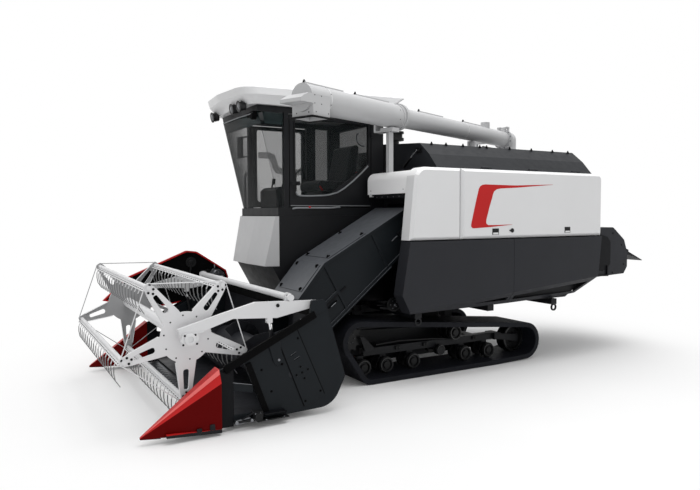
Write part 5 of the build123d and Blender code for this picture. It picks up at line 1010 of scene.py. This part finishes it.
def track_trim():
    """Wheels' caps and rims, dark sheets between the tracks as painted shade under the machine, guides, and the
    bands' soft edges.
    """
    wheels = [(x, 130.3, 1) for x in (-70, -330, -655, -1330, -1655)]
    wheels += [(-1195, 365, 1), (-1000, 205.3, 55 / 80)]
    steps = (0, 60), (3, 60), (4, 34), (10, 32), (11, 26)
    kit = Kit("roller_caps", "machine", ROLLER)
    for x, z, share in wheels:
        kit.turned((x, 690, z), LEFT, [(along, radius * share) for along, radius in steps], 36)
        kit.washer((x, 704, z), LEFT, 64 * share, 72 * share, 9, 44)
        kit.washer((x, 640, z), LEFT, 70 * share, 79 * share, 8, 44)
    idler, sprocket = (-2065, 215), (55, 420)
    kit.turned((idler[0], 656, idler[1]), LEFT, ((0, 42), (8, 40), (10, 30)), 32)
    kit.washer((idler[0], 656, idler[1]), LEFT, 128, 141, 6, 48)
    for u, w in around(6):
        kit.bolt((idler[0] + 92 * u, 622, idler[1] + 92 * w), LEFT, 7)
        kit.bolt((sprocket[0] + 44 * u, 656, sprocket[1] + 44 * w), LEFT, 7)
    kit.done(1.2, 0)
    # Dark sheets under the machine and inside both tracks: painted shade where the floor behind the rollers
    # would show.
    kit = Kit("underbody_shade", "machine", DARK)
    kit.block((-1180, -150), (-420, 420), (444, 470))
    kit.block((-1196, -1180), (-420, 420), (444, 640))
    shade_outline = [(-40, 110), (-1700, 110), (-1700, 250), (-1230, 262), (-1150, 400), (-150, 444), (-60, 300)]
    for low in (SHADE_SHEET_Y, -SHADE_SHEET_Y - 8):
        kit.side(shade_outline, low, low + 8)
    kit.done(3)
    kit = Kit("track_guides", "machine", CAST)
    for x in (-500, -840, -1500):
        kit.block((x - 30, x + 30), (634, 662), (256, 290))
        kit.bolt((x, 662, 273), LEFT, 11)
    kit.tube([(-230, 652, 330), (-500, 652, 342), (-900, 652, 322), (-1120, 652, 300)], 11)
    kit.done(1, 0)
    for name in ("left_track", "right_track"):
        soften(nodes[name], 16, 3, 50)


def machine_trim():
    """Dark machinery seen between the feeder house and the tracks."""
    kit = Kit("feeder_drive", "machine", CAST)
    kit.turned((-330, 806, 742), LEFT, ((0, 66), (6, 66), (10, 58), (22, 58), (26, 66), (32, 66),
                                        (32, 50), (20, 46), (20, 20), (40, 18)), 36)
    kit.side(rounded([(-352, 968, 40), (-470, 968, 10), (-470, 640, 10), (-372, 640, 30)]), 780, 806)
    kit.tube([(-330, 820, 742), (-330, 700, 742)], 16)
    kit.tube([(-250, 700, 700), (-330, 740, 690), (-420, 760, 700), (-480, 760, 760)], 12)
    kit.tube([(-240, 660, 720), (-330, 690, 716), (-430, 700, 730), (-480, 700, 800)], 9)
    kit.block((-620, -440), (560, 900), (662, 690))
    kit.done(1)
    kit = Kit("feeder_drive_bolts", "machine", ZINC)
    kit.bolt((-330, 846, 742), LEFT, 11)
    for u, w in around(5):
        kit.rivet((-330 + 36 * u, 827, 742 + 36 * w), LEFT, 5)
    kit.done(0)


def chopper_trim():
    """Bolts, bracket and seam on the straw chopper's left side."""
    face = 1000
    kit = Kit("chopper_bolts", "machine", CAST)
    kit.bolts(((-3040, 982), (-3120, 950), (-3070, 1340), (-3300, 1380), (-3460, 1240), (-3500, 1010),
               (-3300, 920)), face, 9)
    kit.done(0)
    kit = Kit("chopper_plates", "machine", POST_GREY)
    kit.side(rounded([(-3010, 1400, 20), (-3230, 1400, 60), (-3290, 1290, 40), (-3290, 1010, 40),
                      (-3200, 930, 30), (-3010, 930, 20)]), face - 1, face + 6)
    kit.side([(-2990, 912), (-3200, 900), (-3200, 884), (-2990, 892)], face - 1, face + 22)
    kit.block((-3196, -3180), (face, face + 20), (884, 1010))
    kit.done(1.5)


def right_side_trim():
    """Seams, grips and steps' treads on the tank side."""
    kit = Kit("tank_seams", "machine", WHITE)
    for x in TANK_SEAMS:
        kit.block((x - 14, x + 14), (-1104, -1099), (1250, 2320))
    kit.block((-2890, -810), (-1104, -1099), (2296, 2318))
    kit.done(1.5)
    kit = Kit("tank_screws", "machine", ZINC)
    for x in TANK_SEAMS:
        for k in range(7):
            kit.rivet((x, -1103.5, 1290 + 160 * k), RIGHT, 6)
    for x in (-760, -500, -160, 200, 480):
        kit.rivet((x, -850, 1560), RIGHT, 7)
    kit.done(0)
    kit = Kit("step_treads", "machine", CAST)
    for z in (970, 1290):
        for k in range(6):
            kit.block((140 + 46 * k, 164 + 46 * k), (-1094, -924), (z - 1, z + 3))
    for k in range(14):
        kit.block((-200 + 46 * k, -176 + 46 * k), (-1094, -870), (1599, 1603))
    kit.done(0.8)
    kit = Kit("boarding_grips", "machine", GREY_PLASTIC)
    kit.tube([(442, -1090, 1598), (442, -1090, 2040), (442, -1060, 2080), (442, -900, 2090)], 12, 12)
    kit.tube([(442, -900, 2090), (460, -852, 2090)], 12, 12)
    kit.tube([(-200, -1090, 1598), (-200, -1090, 2100), (-240, -1060, 2140), (-330, -860, 2140)], 12, 12)
    kit.done(0)


cab_trim()
roof_trim()
tube_trim()
top_cover_trim()
hood_trim()
track_trim()
machine_trim()
chopper_trim()
right_side_trim()


SEAT_SWELL = 0.009
CHANNEL_PITCH = 0.072
CHANNEL_DEEP = 0.010
CLOTH_STEPS = 20
CLOTH_PRESSURE = 4
SEAT_HEART = (-250, -350, 1870)
BACK_LEAN = 0.18


def seat_cushions():
    """Padded cushion and ribbed backrest in place of the plain solid."""
    mesh = nodes["seat_pad"].data.copy()
    mesh.materials.clear()
    mesh.materials.append(CLOTH)
    piece = add_object("seat_cushions", mesh)
    remesh = piece.modifiers.new("voxels", "REMESH")
    remesh.mode = "VOXEL"
    remesh.voxel_size = 0.006
    apply_modifiers(piece)
    start = [vert.co.copy() for vert in piece.data.vertices]
    cloth = piece.modifiers.new("cloth", "CLOTH")
    cloth.settings.use_pressure = True
    cloth.settings.uniform_pressure_force = CLOTH_PRESSURE
    cloth.settings.effector_weights.gravity = 0
    for step in range(1, CLOTH_STEPS + 1):
        bpy.context.scene.frame_set(step)
    apply_modifiers(piece)
    bpy.context.scene.frame_set(1)
    for vert, place in zip(piece.data.vertices, start):
        move = vert.co - place
        if move.length > SEAT_SWELL:
            vert.co = place + move.normalized() * SEAT_SWELL
    low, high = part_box("seat_pad")
    for vert in piece.data.vertices:
        vert.co += seat_channels(vert.co, low, high)
    smooth = piece.modifiers.new("smooth", "SUBSURF")
    smooth.levels = smooth.render_levels = 1
    apply_modifiers(piece)
    piece.data.polygons.foreach_set("use_smooth", [True] * len(piece.data.polygons))
    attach(piece, "machine")
    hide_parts("seat_pad")


def seat_channels(place, low, high):
    """Sewn grooves across the backrest's front and the cushion's top, with a plain bolster each side."""
    middle = (low[1] + high[1]) / 2
    half = (high[1] - low[1]) / 2
    centre = at(*SEAT_HEART)
    share = abs(place.y - middle) / half
    across = max(0.0, 1 - (share / 0.72) ** 8)
    bolster = max(0.0, 1 - abs(share - 0.78) / 0.10)
    back = place.z > centre.z + 0.14
    run = place.z if back else place.x
    groove = (0.5 + 0.5 * cos(2 * pi * run / CHANNEL_PITCH)) ** 6
    deep = CHANNEL_DEEP * (groove * across + 0.7 * bolster)
    if back:
        front = centre.x + 0.03 - (place.z - centre.z) * BACK_LEAN
        return Vector((-deep, 0, -0.2 * deep)) if place.x > front - 0.02 else Vector()
    return Vector((0, 0, -deep)) if place.z > low[2] + 0.06 else Vector()


def apply_modifiers(piece):
    """Bakes a piece's modifiers into its mesh."""
    graph = bpy.context.evaluated_depsgraph_get()
    made = bpy.data.meshes.new_from_object(piece.evaluated_get(graph))
    piece.modifiers.clear()
    piece.data = made


seat_cushions()


SKY = 0.68
KEY_WATTS = 215
TOP_WATTS = 330
FLOOR_GLOW = 0.04
FLOOR_FADE = (2.6, 4.8)
FLOOR_REACH = 60
FLOOR_TONES = (0.88, 0.88, 0.88), (0.9, 0.9, 0.9)


def area_light(name, place, aim, size, power):
    data = bpy.data.lights.new(name, "AREA")
    data.shape = "RECTANGLE"
    data.size, data.size_y = size
    data.energy = power
    light = add_object(name, data)
    light.location = place
    light.rotation_euler = (aim - place).to_track_quat("-Z", "Y").to_euler()


def white_world(strength):
    """Even sky, seen as plain white by the camera, in gloss and through glass."""
    world = bpy.data.worlds.new("world")
    bpy.context.scene.world = world
    world.use_nodes = True
    tree = world.node_tree
    background = tree.nodes["Background"]
    background.inputs["Color"].default_value = (1, 1, 1, 1)
    path = tree.nodes.new("ShaderNodeLightPath")
    seen = path.outputs["Is Camera Ray"]
    for ray in ("Is Glossy Ray", "Is Transmission Ray"):
        either = tree.nodes.new("ShaderNodeMath")
        either.operation = "MAXIMUM"
        tree.links.new(seen, either.inputs[0])
        tree.links.new(path.outputs[ray], either.inputs[1])
        seen = either.outputs[0]
    level = tree.nodes.new("ShaderNodeMapRange")
    level.inputs["To Min"].default_value = strength
    level.inputs["To Max"].default_value = 1.0
    tree.links.new(seen, level.inputs["Value"])
    tree.links.new(level.outputs["Result"], background.inputs["Strength"])


def white_floor():
    """Pale floor that fades to plain white away from the shadows."""
    n = Nodes("floor")
    n.color(n.noise(0.6, 2), *FLOOR_TONES)
    n.set(Roughness=0.8, Specular_IOR_Level=0.1)

    def mix(share, first, second):
        node = n.add("ShaderNodeMixShader")
        for source, target in zip((share, first, second), node.inputs):
            n.link(source, target)
        return node.outputs[0]

    glow = n.add("ShaderNodeEmission")
    glow.inputs["Strength"].default_value = FLOOR_GLOW
    lit = n.add("ShaderNodeAddShader")
    far = n.add("ShaderNodeVectorMath", operation="LENGTH")
    fade = n.add("ShaderNodeMapRange", interpolation_type="SMOOTHSTEP")
    fade.inputs["From Min"].default_value, fade.inputs["From Max"].default_value = FLOOR_FADE
    n.link(n.place, far.inputs[0])
    n.link(far.outputs["Value"], fade.inputs["Value"])
    n.link(n.shader.outputs[0], lit.inputs[0])
    n.link(glow.outputs[0], lit.inputs[1])
    seen = mix(fade.outputs["Result"], lit.outputs[0], n.add("ShaderNodeEmission").outputs[0])
    shown = mix(n.add("ShaderNodeLightPath").outputs["Is Camera Ray"], n.shader.outputs[0], seen)
    n.link(shown, n.tree.nodes["Material Output"].inputs["Surface"])
    mesh = bpy.data.meshes.new("floor")
    corners = ((-1, -1), (1, -1), (1, 1), (-1, 1))
    mesh.from_pydata([(x * FLOOR_REACH, y * FLOOR_REACH, 0) for x, y in corners], [], [(0, 1, 2, 3)])
    mesh.materials.append(n.material)
    add_object("floor", mesh)


def add_light():
    white_world(SKY)
    middle = at(-600, 200, 1100)
    area_light("key", at(900, 2200, 9000), middle, (7, 7), KEY_WATTS)
    area_light("top", at(-1500, -300, 9000), middle, (9, 7), TOP_WATTS)
    white_floor()
    bpy.context.scene.view_settings.view_transform = "Standard"


add_camera()
add_light()
